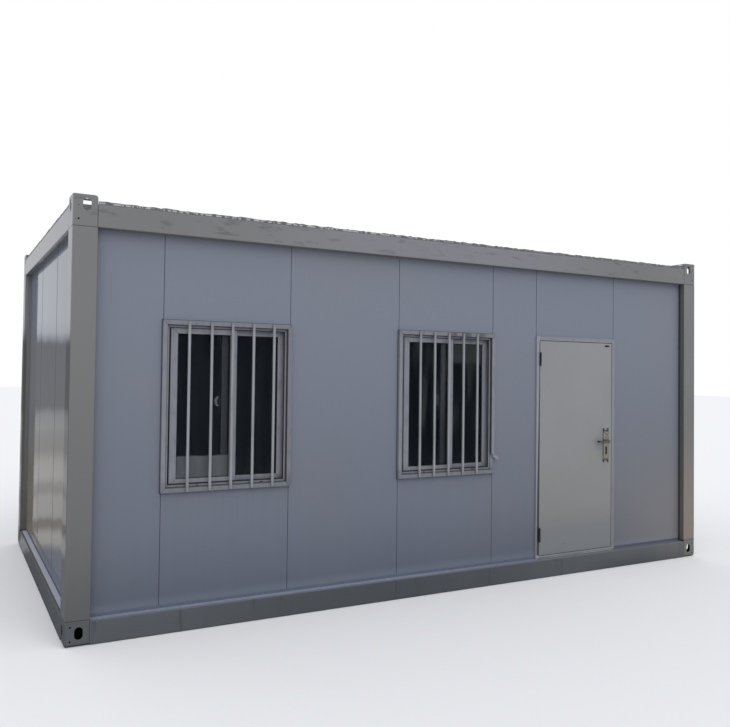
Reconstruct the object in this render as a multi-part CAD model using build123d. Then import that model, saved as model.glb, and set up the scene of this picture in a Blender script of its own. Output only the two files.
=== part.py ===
"""Flat-pack shipping container cabin: a folded-steel frame with corner castings, closed by insulated panels.

Millimetres. The origin is on the ground at the middle of the plan. +X runs along the front from left to
right, +Y runs into the cabin, and +Z is up. The front, with the door and both windows, faces -Y.
Every wall is drawn the same way: x from the left corner to the right one as seen from outside, y inwards
from the outer face of the frame, z up from the ground. at_side() then turns it to its side of the cabin.
"""

import os

from build123d import *

# Overall size
length = 6055.0
width = 2990.0
height = 2896.0

# Steel frame
post_size = 160.0
frame_steel = 4.0
floor_beam_top = 155.0
beam_lift = 3.0
roof_beam_height = 150.0
roof_beam_bottom = 2690.0
outer_flange = 80.0
beam_corner_radius = 6.0
post_corner_radius = 10.0
seam_bevel = 2.0
overcut = 1.0

# Corner castings
casting_wall = 6.0
bottom_casting_height = 165.0
slot_width = 54.0
slot_height = 80.0
slot_from_corner = 91.0
bottom_slot_height = 85.0
top_slot_below_top = 63.0
bolt_hole_diameter = 13.0
bolt_hole_from_corner = 37.0
bolt_hole_above_foot = 37.0
bolt_hole_below_top = 69.0
bolt_hole_spacing = 91.0
casting_edge_radius = 12.0
casting_foot_radius = 25.0
casting_crown_radius = 20.0
casting_opening_rise = 25.0

# Floor and roof
cross_member_count = 11
cross_member_end_clearance = 5.0
cross_member_steel = 2.5
joist_width = 50.0
purlin_width = 40.0
floor_board_thickness = 18.0
ceiling_thickness = 20.0
roof_sheet_thickness = 1.5
roof_rib_pitch = 190.0
roof_rib_height = 25.0
roof_rib_foot = 70.0
roof_rib_crown = 40.0
roof_edge_setback = 20.0
roof_sheet_setback = 135.0
laying_clearance = 2.0

# Wall panels
wall_recess = 60.0
panel_thickness = 75.0
panel_width = 963.0
first_strip_width = 465.0
narrow_panel_width = 493.0
panel_gap = 0.5
tongue_length = 12.0
tongue_thickness = 20.0
joint_groove_width = 4.0
joint_groove_depth = 3.0
end_panel_count = 3
trim_steel = 2.0
trim_height = 25.0
trim_foot = 38.0

# Windows
opening_head = 2113.0
window_height = 1178.0
window_lap = 6.0
fitting_clearance = 1.0
window_proud = 25.0
cover_width = 33.0
cover_step = 20.0
window_frame_face = 50.0
window_lip = 4.0
track_depth = 13.0
sash_thickness = 24.0
sash_face = 52.0
sash_gap = 6.0
sash_overlap = 83.0
sash_ajar = 22.0
sash_clearance = 2.0
inner_trim = 5.0
glass_thickness = 6.0
glass_bite = 8.0
glass_clearance = 0.2
torn_bottom = 968.0
torn_top_outside = 1080.0
torn_top_inside = 1105.0

# Door
door_lap = 3.5
door_proud = 15.0
door_frame_face = 35.0
door_sill_height = 25.0
door_gap = 5.0
door_stop_width = 20.0
door_thickness = 45.0
door_edge_radius = 2.0

# Hinges
hinge_height = 120.0
hinge_radius = 8.0
hinge_pin_radius = 4.0
hinge_pin_clearance = 0.05
hinge_plate_thickness = 2.0
hinge_plate_depth = 38.0
hinge_standoff = 0.5
hinge_knuckle_gap = 1.0
hinge_centre_heights = (365.0, 1912.0)

# Lock plates and levers
plate_width = 68.0
plate_height = 314.0
plate_thickness = 8.0
plate_from_edge = 40.0
plate_bottom = 972.0
plate_scoop_radius = 22.0
plate_horn_radius = 4.0
plate_edge_bevel = 2.5
lever_height = 1165.0
lever_length = 125.0
lever_section_height = 18.0
lever_section_depth = 12.0
lever_standoff = 24.0
lever_return = 13.0
lever_boss_radius = 14.0
lever_neck_radius = 9.0
lever_neck_clearance = 1.0
spindle_radius = 5.0
spindle_hole_radius = 11.0
barrel_hole_width = 18.0
barrel_hole_length = 44.0
barrel_hole_height = 1097.0
snib_hole_diameter = 20.0
snib_hole_height = 1053.0

# Worked out from the sizes above
left = -length / 2
right = length / 2
front = -width / 2
back = width / 2
roof_beam_top = roof_beam_bottom + roof_beam_height
wall_flange = post_size
short_run = width - 2 * post_size
first_member = left + post_size + joist_width / 2 + cross_member_end_clearance
member_pitch = -2 * first_member / (cross_member_count - 1)
ribs_per_bay = round(member_pitch / roof_rib_pitch)
rib_pitch = member_pitch / ribs_per_bay
wall_inside = wall_recess + panel_thickness
joints = [post_size, post_size + first_strip_width]
for module in (panel_width, panel_width, panel_width, narrow_panel_width, panel_width):
    joints.append(joints[-1] + module)
joints.append(length - post_size)
left_window = (joints[1], joints[2])
right_window = (joints[3], joints[4])
doorway = (joints[5], joints[6])
window_sill = opening_head - window_height
window_face = wall_recess - window_proud
sash_front = window_face + cover_step + window_lip + sash_clearance
door_face = wall_recess - door_proud
leaf_left = doorway[0] - door_lap + door_frame_face + door_gap
leaf_right = doorway[1] + door_lap - door_frame_face - door_gap
leaf_bottom = floor_beam_top + door_sill_height + door_gap
leaf_top = opening_head - door_frame_face - door_gap
leaf_back = door_face + door_thickness
hinge_x = leaf_left - door_gap / 2
hinge_y = door_face - hinge_radius - hinge_standoff
plate_x = leaf_right - plate_from_edge - plate_width / 2
plate_middle = plate_bottom + plate_height / 2


def block(x0, x1, y0, y1, z0, z1):
    """A box between two corners."""
    return Pos(x0, y0, z0) * Box(x1 - x0, y1 - y0, z1 - z0, align=Align.MIN)


def at_side(shape, side):
    """A shape drawn from the left corner of its side, turned to that side of the cabin."""
    corner, turn = {
        "front": ((left, front), 0),
        "right": ((right, front), 90),
        "back": ((right, back), 180),
        "left": ((left, back), 270),
    }[side]
    return Pos(corner[0], corner[1], 0) * Rot(0, 0, turn) * shape


def side_length(side):
    return length if side in ("front", "back") else width


def extruded_along_x(points, start, end):
    """A section given as (y, z) points, from start to end along x."""
    section = Plane.YZ * Polygon(*points, align=None)
    return Pos(start, 0, 0) * extrude(section, end - start, dir=(1, 0, 0))


def extruded_along_z(points, bottom, top):
    """A section given as (x, y) points, from bottom to top."""
    return Pos(0, 0, bottom) * extrude(Polygon(*points, align=None), top - bottom)


def edges_at(shape, axis, **place):
    """The edges along an axis whose middle has the given coordinates."""
    found = shape.edges().filter_by(axis)
    for name, value in place.items():
        found = ShapeList(e for e in found if abs(getattr(e.center(), name) - value) < 0.01)
    return found


def four_corners(shape):
    """A piece of the front left corner and its mirror images in the other three."""
    front_right = mirror(shape, about=Plane.YZ)
    return [shape, front_right, mirror(shape, about=Plane.XZ), mirror(front_right, about=Plane.XZ)]


def save(name, solids):
    """One node: its solids in one STEP file."""
    pieces = [solid for shape in solids for solid in shape.solids()]
    node = pieces[0] if len(pieces) == 1 else Compound(children=pieces)
    node.label = name
    export_step(node, f"parts/{name}.step")


# Frame

def beam(side, bottom, top, bottom_flange, top_flange):
    """A cold-formed channel between two castings: web outside, flanges towards the cabin."""
    t = frame_steel
    section = [
        (0, bottom), (bottom_flange, bottom), (bottom_flange, bottom + t), (t, bottom + t),
        (t, top - t), (top_flange, top - t), (top_flange, top), (0, top),
    ]
    start, end = post_size, side_length(side) - post_size
    channel = extruded_along_x(section, start, end)
    channel = fillet(edges_at(channel, Axis.X, Y=0), beam_corner_radius)
    ends = edges_at(channel, Axis.Z, X=start, Y=0) + edges_at(channel, Axis.Z, X=end, Y=0)
    return at_side(chamfer(ends, seam_bevel), side)


def corner_post():
    """A square tube between the castings."""
    size, t = post_size, frame_steel
    bottom, top = bottom_casting_height, roof_beam_bottom
    tube = block(0, size, 0, size, bottom, top)
    tube = fillet(edges_at(tube, Axis.Z, X=0, Y=0), post_corner_radius)
    ends = tube.edges().filter_by(Plane.XY)
    tube = chamfer(ends, seam_bevel) - block(t, size - t, t, size - t, bottom, top)
    return Pos(left, front, 0) * tube


def obround_cutter(size, depth):
    """The tool for a slot, standing on the origin with its long side along x."""
    return extrude(SlotOverall(size, slot_width), depth / 2, both=True)


def casting_slots(slot_z):
    """The slots in both outer plates of the front left casting."""
    reach = 4 * casting_wall
    upright = Rot(0, 90, 0) * obround_cutter(slot_height, reach)
    in_front = Pos(slot_from_corner, 0, slot_z) * Rot(0, 0, 90) * upright
    in_end = Pos(0, slot_from_corner, slot_z) * upright
    return in_front + in_end


def bolt_holes(first_z):
    """The pair of small holes in the long side of a casting."""
    drill = Rot(90, 0, 0) * Cylinder(bolt_hole_diameter / 2, 4 * casting_wall)
    return [Pos(bolt_hole_from_corner, 0, first_z + k * bolt_hole_spacing) * drill for k in range(2)]


def bottom_casting():
    """A welded box of plate with rounded lower edges, which the cabin stands on."""
    size, wall, top = post_size, casting_wall, bottom_casting_height
    outside = block(0, size, 0, size, 0, top)
    hollow = block(wall, size - wall, wall, size - wall, wall, top - wall)
    foot = edges_at(outside, Axis.X, Y=0, Z=0) + edges_at(outside, Axis.Y, X=0, Z=0)
    outside = fillet(foot, casting_foot_radius)
    outside = fillet(edges_at(outside, Axis.Z, X=0, Y=0), casting_edge_radius)
    inner_foot = edges_at(hollow, Axis.X, Y=wall, Z=wall) + edges_at(hollow, Axis.Y, X=wall, Z=wall)
    hollow = fillet(inner_foot, casting_foot_radius - wall)
    hollow = fillet(edges_at(hollow, Axis.Z, X=wall, Y=wall), casting_edge_radius - wall)
    floor_slot = Pos(slot_from_corner, slot_from_corner, 0) * obround_cutter(slot_height, 4 * wall)
    casting = outside - hollow - floor_slot - casting_slots(bottom_slot_height)
    for hole in bolt_holes(bolt_hole_above_foot):
        casting -= hole
    return Pos(left, front, 0) * casting


def top_casting():
    """The same box upside down, open towards the roof above the beams."""
    size, wall = post_size, casting_wall
    base, top = roof_beam_bottom, height
    outside = block(0, size, 0, size, base, top)
    crown = edges_at(outside, Axis.Y, X=size, Z=top) + edges_at(outside, Axis.X, Y=size, Z=top)
    outside = fillet(crown, casting_crown_radius)
    outside = fillet(edges_at(outside, Axis.Z, X=0, Y=0), casting_edge_radius)
    hollow = block(wall, size - wall, wall, size - wall, base + wall, top - wall)
    hollow = fillet(edges_at(hollow, Axis.Z, X=wall, Y=wall), casting_edge_radius - wall)
    sill = roof_beam_top + casting_opening_rise
    over_beams = block(wall, size + overcut, wall, size + overcut, sill, top - wall)
    over_beams = fillet(edges_at(over_beams, Axis.Z, X=wall, Y=wall), casting_edge_radius - wall)
    top_slot = Pos(slot_from_corner, slot_from_corner, top) * obround_cutter(slot_height, 4 * wall)
    casting = outside - hollow - over_beams - top_slot - casting_slots(top - top_slot_below_top)
    for hole in bolt_holes(top - bolt_hole_below_top - bolt_hole_spacing):
        casting -= hole
    return Pos(left, front, 0) * casting


def cross_member(flange, bottom, top, start, end):
    """A channel on edge across the cabin, from start to end along y, with its web on the left."""
    t = cross_member_steel
    half = flange / 2
    section = [
        (-half, bottom), (half, bottom), (half, bottom + t), (t - half, bottom + t),
        (t - half, top - t), (half, top - t), (half, top), (-half, top),
    ]
    face = Plane.XZ * Polygon(*section, align=None)
    return Pos(0, start, 0) * extrude(face, end - start, dir=(0, 1, 0))


def cross_members(flange, bottom, top, start, end):
    member = cross_member(flange, bottom, top, start, end)
    return [Pos(first_member + k * member_pitch, 0, 0) * member for k in range(cross_member_count)]


def floor_joists():
    """Joists across the floor, standing on the lower flanges of the long floor beams."""
    bottom = beam_lift + frame_steel
    top = floor_beam_top - floor_board_thickness
    return cross_members(joist_width, bottom, top, front + frame_steel, back - frame_steel)


def roof_purlins():
    """Purlins across the roof, on the lower flanges of the long roof beams."""
    inset = outer_flange + laying_clearance
    bottom = roof_beam_bottom + frame_steel
    return cross_members(purlin_width, bottom, roof_beam_top, front + inset, back - inset)


def floor_board():
    inset = wall_flange + laying_clearance
    top = floor_beam_top
    return block(left + inset, right - inset, front + inset, back - inset, top - floor_board_thickness, top)


def ceiling():
    """One board under the flanges of the roof beams, notched round the posts."""
    inset = wall_inside
    bottom = roof_beam_bottom - ceiling_thickness
    board = block(left + inset, right - inset, front + inset, back - inset, bottom, roof_beam_bottom)
    reach = post_size + laying_clearance
    post = block(left, left + reach, front, front + reach, bottom - overcut, roof_beam_bottom + overcut)
    for corner in four_corners(post):
        board -= corner
    return board


def roof_sheet():
    """Trapezoidal sheet with its ribs across the cabin; its valleys lie on the purlins."""
    start = left + post_size + laying_clearance
    end = right - post_size - laying_clearance
    low = roof_beam_top
    line = [(start, low)]
    for k in range(ribs_per_bay * (cross_member_count - 1)):
        middle = first_member + (k + 0.5) * rib_pitch
        line.append((middle - roof_rib_foot / 2, low))
        line.append((middle - roof_rib_crown / 2, low + roof_rib_height))
        line.append((middle + roof_rib_crown / 2, low + roof_rib_height))
        line.append((middle + roof_rib_foot / 2, low))
    line.append((end, low))
    upper = [(x, z + roof_sheet_thickness) for x, z in reversed(line)]
    face = Plane.XZ * Polygon(*line, *upper, align=None)
    depth = width - 2 * roof_sheet_setback
    return Pos(0, front + roof_sheet_setback, 0) * extrude(face, depth, dir=(0, 1, 0))


def roof_flashing(side, sheet_edge):
    """A flat strip that closes the roof from a beam to the edge of the ribbed sheet."""
    inset = post_size + laying_clearance
    strip = block(
        inset, side_length(side) - inset, roof_edge_setback, sheet_edge - laying_clearance / 2,
        roof_beam_top, roof_beam_top + roof_sheet_thickness,
    )
    return at_side(strip, side)


# Walls

def panel(start, end, bottom, top, groove=True, tongue=True):
    """A sandwich panel from joint to joint, with a groove in its left edge and a tongue on its right one."""
    out, back_face = wall_recess, wall_inside
    middle = (out + back_face) / 2
    stop = end - panel_gap if tongue else end
    half_tongue = tongue_thickness / 2
    points = [(start, out), (stop, out)]
    if tongue:
        points += [
            (stop, middle - half_tongue), (stop + tongue_length, middle - half_tongue),
            (stop + tongue_length, middle + half_tongue), (stop, middle + half_tongue),
        ]
    points += [(stop, back_face), (start, back_face)]
    if groove:
        half_groove = half_tongue + panel_gap
        deep = start + tongue_length + panel_gap
        points += [
            (start, middle + half_groove), (deep, middle + half_groove),
            (deep, middle - half_groove), (start, middle - half_groove),
        ]
        shoulder = out + joint_groove_depth
        points += [(start, shoulder), (start + joint_groove_width, shoulder)]
        points[0] = (start + joint_groove_width, out)
    return extruded_along_z(points, bottom, top)


def wall_hole(opening, bottom, top):
    """The space that a window or door takes out of its neighbours' tongues."""
    out, inside = wall_recess - overcut, wall_inside + overcut
    return block(opening[0] - panel_gap, opening[1], out, inside, bottom, top)


def front_panel(first, last, groove=True, tongue=True):
    """A full-height panel of the front wall between two joints, cleared beside the openings."""
    whole = panel(joints[first], joints[last], floor_beam_top, roof_beam_bottom, groove, tongue)
    for opening in (left_window, right_window):
        whole -= wall_hole(opening, window_sill + window_lap, opening_head - window_lap)
    whole -= wall_hole(doorway, floor_beam_top - overcut, opening_head - door_lap)
    return at_side(whole, "front")


def window_panels(opening):
    """The two pieces of panel below and above a window."""
    below = panel(*opening, floor_beam_top, window_sill + window_lap)
    above = panel(*opening, opening_head - window_lap, roof_beam_bottom)
    return [at_side(below, "front"), at_side(above, "front")]


def plain_wall(side, widths):
    """Full-height panels from post to post; the last one takes what is left."""
    edges = [post_size]
    for module in widths:
        edges.append(edges[-1] + module)
    edges.append(side_length(side) - post_size)
    last = len(edges) - 2
    panels = []
    for k in range(last + 1):
        one = panel(edges[k], edges[k + 1], floor_beam_top, roof_beam_bottom, groove=k > 0, tongue=k < last)
        panels.append(at_side(one, side))
    return panels


def base_trim(side, start, end):
    """A small angle that covers the foot of the panels."""
    out = wall_recess
    foot = floor_beam_top + trim_steel
    section = [
        (out - trim_foot, floor_beam_top), (out, floor_beam_top), (out, floor_beam_top + trim_height),
        (out - trim_steel, floor_beam_top + trim_height), (out - trim_steel, foot), (out - trim_foot, foot),
    ]
    return at_side(extruded_along_x(section, start, end), side)


# Windows

def window_outline(opening):
    """The (x0, x1, z0, z1) of a window frame over its opening."""
    return opening[0] - window_lap, opening[1] + window_lap, window_sill, opening_head


def window_frame(opening):
    """A proud cover strip round a lip, a body through the wall and a track for two sashes."""
    x0, x1, z0, z1 = window_outline(opening)
    body_inset = window_lap + fitting_clearance
    inside = wall_inside + inner_trim
    cover = block(x0, x1, window_face, wall_recess, z0, z1)
    body = block(x0 + body_inset, x1 - body_inset, wall_recess, inside, z0 + window_lap, z1 - body_inset)
    frame = cover + body
    lip_front = window_face + cover_step
    track_back = sash_front + 2 * sash_thickness + sash_gap + sash_clearance
    hollows = (
        (cover_width, window_face - overcut, lip_front),
        (window_frame_face, window_face - overcut, inside + overcut),
        (window_frame_face - track_depth, lip_front + window_lip, track_back),
    )
    for rim, y0, y1 in hollows:
        frame -= block(x0 + rim, x1 - rim, y0, y1, z0 + rim, z1 - rim)
    return at_side(frame, "front")


def torn_window_frame(opening):
    """The same frame with a length of its right cover strip torn off above the sill."""
    outer = window_outline(opening)[1]
    inner = outer - cover_width
    loss = [
        (inner, torn_bottom), (outer + overcut, torn_bottom), (outer + overcut, torn_top_outside),
        (inner, torn_top_inside),
    ]
    face = Plane.XZ * Polygon(*loss, align=None)
    strip = Pos(0, window_face + cover_step, 0) * extrude(face, cover_step + overcut, dir=(0, -1, 0))
    return window_frame(opening) - at_side(strip, "front")


def sash_boxes(opening):
    """The (x0, x1, y0, y1, z0, z1) of the left sash, ajar on the outer track, and of the one behind it."""
    x0, x1, z0, z1 = window_outline(opening)
    seat = window_frame_face - track_depth
    side = seat + sash_clearance
    sash_width = (x1 - x0 - 2 * side + sash_overlap) / 2
    first = x0 + side + sash_ajar
    bottom, top = z0 + seat, z1 - side
    second_front = sash_front + sash_thickness + sash_gap
    return [
        (first, first + sash_width, sash_front, sash_front + sash_thickness, bottom, top),
        (x1 - side - sash_width, x1 - side, second_front, second_front + sash_thickness, bottom, top),
    ]


def glass_box(sash, clearance):
    """The pane inside a sash, or with a clearance the groove that it sits in."""
    x0, x1, y0, y1, z0, z1 = sash
    rim = sash_face - glass_bite - clearance
    middle = (y0 + y1) / 2
    half = glass_thickness / 2 + clearance
    return block(x0 + rim, x1 - rim, middle - half, middle + half, z0 + rim, z1 - rim)


def sashes(opening):
    """Two sliding sashes, each a frame of hollow profile with a glazing groove."""
    made = []
    for sash in sash_boxes(opening):
        x0, x1, y0, y1, z0, z1 = sash
        rim = sash_face
        ring = block(*sash) - block(x0 + rim, x1 - rim, y0 - overcut, y1 + overcut, z0 + rim, z1 - rim)
        made.append(at_side(ring - glass_box(sash, glass_clearance), "front"))
    return made


def glass(opening):
    return [at_side(glass_box(sash, 0), "front") for sash in sash_boxes(opening)]


# Door

def door_frame():
    """A steel frame with a sill, a flange over the panels and a stop behind the leaf."""
    x0, x1 = doorway[0] - door_lap, doorway[1] + door_lap
    z0, z1 = floor_beam_top, opening_head
    inside = wall_inside + inner_trim
    body_inset = door_lap + fitting_clearance
    flange = block(x0, x1, door_face, wall_recess, z0, z1)
    body = block(x0 + body_inset, x1 - body_inset, wall_recess, inside, z0, z1 - body_inset)
    rebate = block(
        leaf_left - door_gap, leaf_right + door_gap, door_face - overcut, leaf_back + door_gap,
        leaf_bottom - door_gap, leaf_top + door_gap,
    )
    stop = door_stop_width
    passage = block(
        leaf_left - door_gap + stop, leaf_right + door_gap - stop, door_face - overcut, inside + overcut,
        leaf_bottom - door_gap, leaf_top + door_gap - stop,
    )
    return at_side(flange + body - rebate - passage, "front")


def lock_holes(lever_hole_radius, depth):
    """The holes for lever, barrel and snib, on the middle line of the plates."""
    across = Rot(90, 0, 0)
    lever_hole = Pos(0, 0, lever_height) * across * Cylinder(lever_hole_radius, depth)
    snib_hole = Pos(0, 0, snib_hole_height) * across * Cylinder(snib_hole_diameter / 2, depth)
    barrel = extrude(SlotOverall(barrel_hole_length, barrel_hole_width), depth / 2, both=True)
    barrel_hole = Pos(0, 0, barrel_hole_height) * across * Rot(0, 0, 90) * barrel
    return lever_hole + snib_hole + barrel_hole


def door_leaf():
    """A flush insulated leaf, drilled for the lock."""
    leaf = block(leaf_left, leaf_right, door_face, leaf_back, leaf_bottom, leaf_top)
    leaf = fillet(leaf.edges().filter_by(Axis.Z), door_edge_radius)
    holes = Pos(plate_x, door_face, 0) * lock_holes(spindle_hole_radius, 4 * door_thickness)
    return at_side(leaf - holes, "front")


def hinge_plate(edge, outwards, z0, z1):
    """The leaf of a hinge in the door gap, from the knuckle back along one edge of the gap."""
    x0, x1 = sorted((edge, edge + outwards * hinge_plate_thickness))
    return block(x0, x1, hinge_y, door_face + hinge_plate_depth, z0, z1)


def on_hinge_axis(radius, z0, z1):
    """A round bar on the hinge axis."""
    return Pos(hinge_x, hinge_y, (z0 + z1) / 2) * Cylinder(radius, z1 - z0)


def hinge_on_frame(centre):
    """The lower knuckle with its pin, welded to the frame."""
    z0 = centre - hinge_height / 2
    z1 = centre - hinge_knuckle_gap / 2
    knuckle = on_hinge_axis(hinge_radius, z0, z1)
    pin = on_hinge_axis(hinge_pin_radius, z0, centre + hinge_height / 2 - hinge_radius)
    plate = hinge_plate(leaf_left - door_gap, 1, z0, z1)
    return at_side(knuckle + pin + plate, "front")


def hinge_on_door(centre):
    """The upper knuckle, bored for the pin, welded to the leaf."""
    z0 = centre + hinge_knuckle_gap / 2
    z1 = centre + hinge_height / 2
    half = on_hinge_axis(hinge_radius, z0, z1) + hinge_plate(leaf_left, -1, z0, z1)
    bore_top = z1 - hinge_radius + hinge_knuckle_gap
    bore = on_hinge_axis(hinge_pin_radius + hinge_pin_clearance, z0 - overcut, bore_top)
    return at_side(half - bore, "front")


def lock_plate(face, outwards):
    """A long plate on one face of the leaf, scooped out between two horns at each end."""
    outline = Rectangle(plate_width, plate_height)
    for end in (-1, 1):
        outline -= Pos(0, end * plate_height / 2) * Circle(plate_scoop_radius)
    outline = fillet(outline.vertices(), plate_horn_radius)
    plate = extrude(Plane.XZ * outline, plate_thickness, dir=(0, outwards, 0))
    rim = plate.edges().filter_by_position(Axis.Y, outwards * plate_thickness, outwards * plate_thickness)
    plate = Pos(0, face, plate_middle) * chamfer(rim, plate_edge_bevel)
    holes = Pos(0, face, 0) * lock_holes(lever_neck_radius + lever_neck_clearance, 4 * plate_thickness)
    return at_side(Pos(plate_x, 0, 0) * (plate - holes), "front")


def lever(face, outwards):
    """A neck, a boss, and a bar that points at the hinges and turns back to the door at its tip."""
    reach = plate_thickness + lever_standoff
    outer = reach + lever_section_depth
    half = lever_section_height / 2
    tip = plate_x - lever_length

    def at_depths(near, far):
        return sorted((face + outwards * near, face + outwards * far))

    def round_bar(radius, near, far):
        y0, y1 = at_depths(near, far)
        return Pos(plate_x, (y0 + y1) / 2, lever_height) * Rot(90, 0, 0) * Cylinder(radius, y1 - y0)

    bottom, top = lever_height - half, lever_height + half
    bar = block(tip, plate_x, *at_depths(reach, outer), bottom, top)
    bar += block(tip, tip + lever_section_depth, *at_depths(reach - lever_return, outer), bottom, top)
    bar = fillet(bar.edges().filter_by(Axis.X) + bar.edges().filter_by(Axis.Y), lever_section_depth / 4)
    neck = round_bar(lever_neck_radius, -plate_thickness, outer)
    return neck + round_bar(lever_boss_radius, reach, outer) + bar


def door_levers():
    """Both levers on one spindle through the leaf."""
    spindle_length = door_thickness + plate_thickness
    spindle = Pos(plate_x, (door_face + leaf_back) / 2, lever_height) * Rot(90, 0, 0) * Cylinder(
        spindle_radius, spindle_length
    )
    return at_side(lever(door_face, -1) + lever(leaf_back, 1) + spindle, "front")


os.makedirs("parts", exist_ok=True)

for side in ("front", "right", "back", "left"):
    save(f"floor_beam_{side}", [beam(side, beam_lift, floor_beam_top, outer_flange, wall_flange)])
    save(f"roof_beam_{side}", [beam(side, roof_beam_bottom, roof_beam_top, wall_flange, outer_flange)])
for name, post in zip(("front_left", "front_right", "back_left", "back_right"), four_corners(corner_post())):
    save(f"post_{name}", [post])
save("bottom_corner_castings", four_corners(bottom_casting()))
save("top_corner_castings", four_corners(top_casting()))

save("floor_joists", floor_joists())
save("floor_board", [floor_board()])
save("roof_purlins", roof_purlins())
save("ceiling", [ceiling()])
save("roof_sheet", [roof_sheet()])
end_flashings = [roof_flashing(side, post_size + laying_clearance) for side in ("left", "right")]
long_flashings = [roof_flashing(side, roof_sheet_setback) for side in ("front", "back")]
save("roof_flashings", end_flashings + long_flashings)

save("front_wall_left_strip", [front_panel(0, 1, groove=False)])
save("front_wall_at_left_window", window_panels(left_window))
save("front_wall_middle_panel", [front_panel(2, 3)])
save("front_wall_at_right_window", window_panels(right_window))
save("front_wall_narrow_panel", [front_panel(4, 5)])
save("front_wall_over_door", [at_side(panel(*doorway, opening_head - door_lap, roof_beam_bottom), "front")])
save("front_wall_right_panel", [front_panel(6, 7, tongue=False)])
save("back_wall", plain_wall("back", [panel_width] * 5))
end_panel_width = short_run / end_panel_count
for side in ("left", "right"):
    save(f"{side}_end_wall", plain_wall(side, [end_panel_width] * (end_panel_count - 1)))

door_trim_gap = door_lap + panel_gap
trims = [
    base_trim("front", post_size, doorway[0] - door_trim_gap),
    base_trim("front", doorway[1] + door_trim_gap, length - post_size),
]
for side in ("right", "back", "left"):
    trims.append(base_trim(side, post_size, side_length(side) - post_size))
save("wall_base_trim", trims)

save("left_window_frame", [window_frame(left_window)])
save("right_window_frame", [torn_window_frame(right_window)])
save("left_window_sashes", sashes(left_window))
save("right_window_sashes", sashes(right_window))
save("window_glass", glass(left_window) + glass(right_window))

save("door_frame", [door_frame()])
save("door_leaf", [door_leaf()])
save("hinge_halves_on_frame", [hinge_on_frame(z) for z in hinge_centre_heights])
save("hinge_halves_on_door", [hinge_on_door(z) for z in hinge_centre_heights])
save("lock_plates", [lock_plate(door_face, -1), lock_plate(leaf_back, 1)])
save("door_levers", [door_levers()])
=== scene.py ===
"""The looks of the flat-pack shipping container cabin, piece by piece in the order it is put together.

Metres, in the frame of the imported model: the origin is on the ground at the middle of the plan, +X runs
along the front from left to right, +Y runs into the cabin, and +Z is up. Colours are linear RGB.
"""

import math
import random

import bmesh
import bpy
from mathutils import Euler, Matrix, Vector


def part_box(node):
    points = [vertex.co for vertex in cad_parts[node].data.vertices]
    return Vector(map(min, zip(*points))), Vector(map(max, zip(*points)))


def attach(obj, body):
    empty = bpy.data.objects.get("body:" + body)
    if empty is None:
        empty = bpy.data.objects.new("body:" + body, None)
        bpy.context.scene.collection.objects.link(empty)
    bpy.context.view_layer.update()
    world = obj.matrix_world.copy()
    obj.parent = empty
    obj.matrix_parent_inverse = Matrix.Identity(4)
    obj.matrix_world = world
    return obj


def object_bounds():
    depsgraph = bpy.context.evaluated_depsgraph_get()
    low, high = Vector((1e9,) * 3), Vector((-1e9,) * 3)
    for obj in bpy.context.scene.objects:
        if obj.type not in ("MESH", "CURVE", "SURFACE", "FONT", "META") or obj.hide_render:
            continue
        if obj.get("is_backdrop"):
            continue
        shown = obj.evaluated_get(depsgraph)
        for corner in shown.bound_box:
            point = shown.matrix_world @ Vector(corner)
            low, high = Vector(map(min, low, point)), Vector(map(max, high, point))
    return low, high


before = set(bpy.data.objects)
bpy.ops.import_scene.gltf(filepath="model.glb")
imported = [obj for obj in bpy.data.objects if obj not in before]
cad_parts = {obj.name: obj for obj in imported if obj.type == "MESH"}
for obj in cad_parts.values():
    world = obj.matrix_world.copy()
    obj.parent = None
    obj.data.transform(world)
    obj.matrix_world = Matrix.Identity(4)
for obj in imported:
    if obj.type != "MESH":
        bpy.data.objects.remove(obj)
cad_low, cad_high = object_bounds()

# ---- Frame beams and posts ----
# Folded steel channels and square tubes, sprayed with one coat of satin warm-grey paint. Their ledges carry
# a painted highlight, rain drags dust down in faint streaks, and painted shade darkens everything towards
# the foot, deepest on the floor beams, and in the recesses beside the panels.

post_size = 0.160
floor_beam_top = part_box("floor_beam_front")[1].z
roof_beam_bottom, roof_beam_top = (corner.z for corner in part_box("roof_beam_front"))
casting_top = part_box("bottom_corner_castings")[1].z
wall_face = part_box("front_wall_middle_panel")[0].y
half_length, half_width = cad_high.x, cad_high.y
corner_x, corner_y = half_length - post_size, half_width - post_size
wall_recess = half_width + wall_face

seam_reach, seam_across_reach = 0.0028, 0.0024

black = (0, 0, 0)
frame_grey = (0.204, 0.204, 0.203)
frame_dust = (0.245, 0.240, 0.228)
sand = (0.302, 0.252, 0.208)
seam_dirt = (0.035, 0.035, 0.036)
bare_primer = (0.105, 0.100, 0.095)
beam_foot_shade = (0.042, 0.089, 0.157)
beam_middle_shade = (0.010, 0.019, 0.021)
dried_mud = (0.225, 0.216, 0.200)
ledge_highlight = (0.240, 0.270, 0.345)
recess_shade = (0.034, 0.043, 0.045)
roof_beam_pale = (0.246, 0.246, 0.272)
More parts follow.
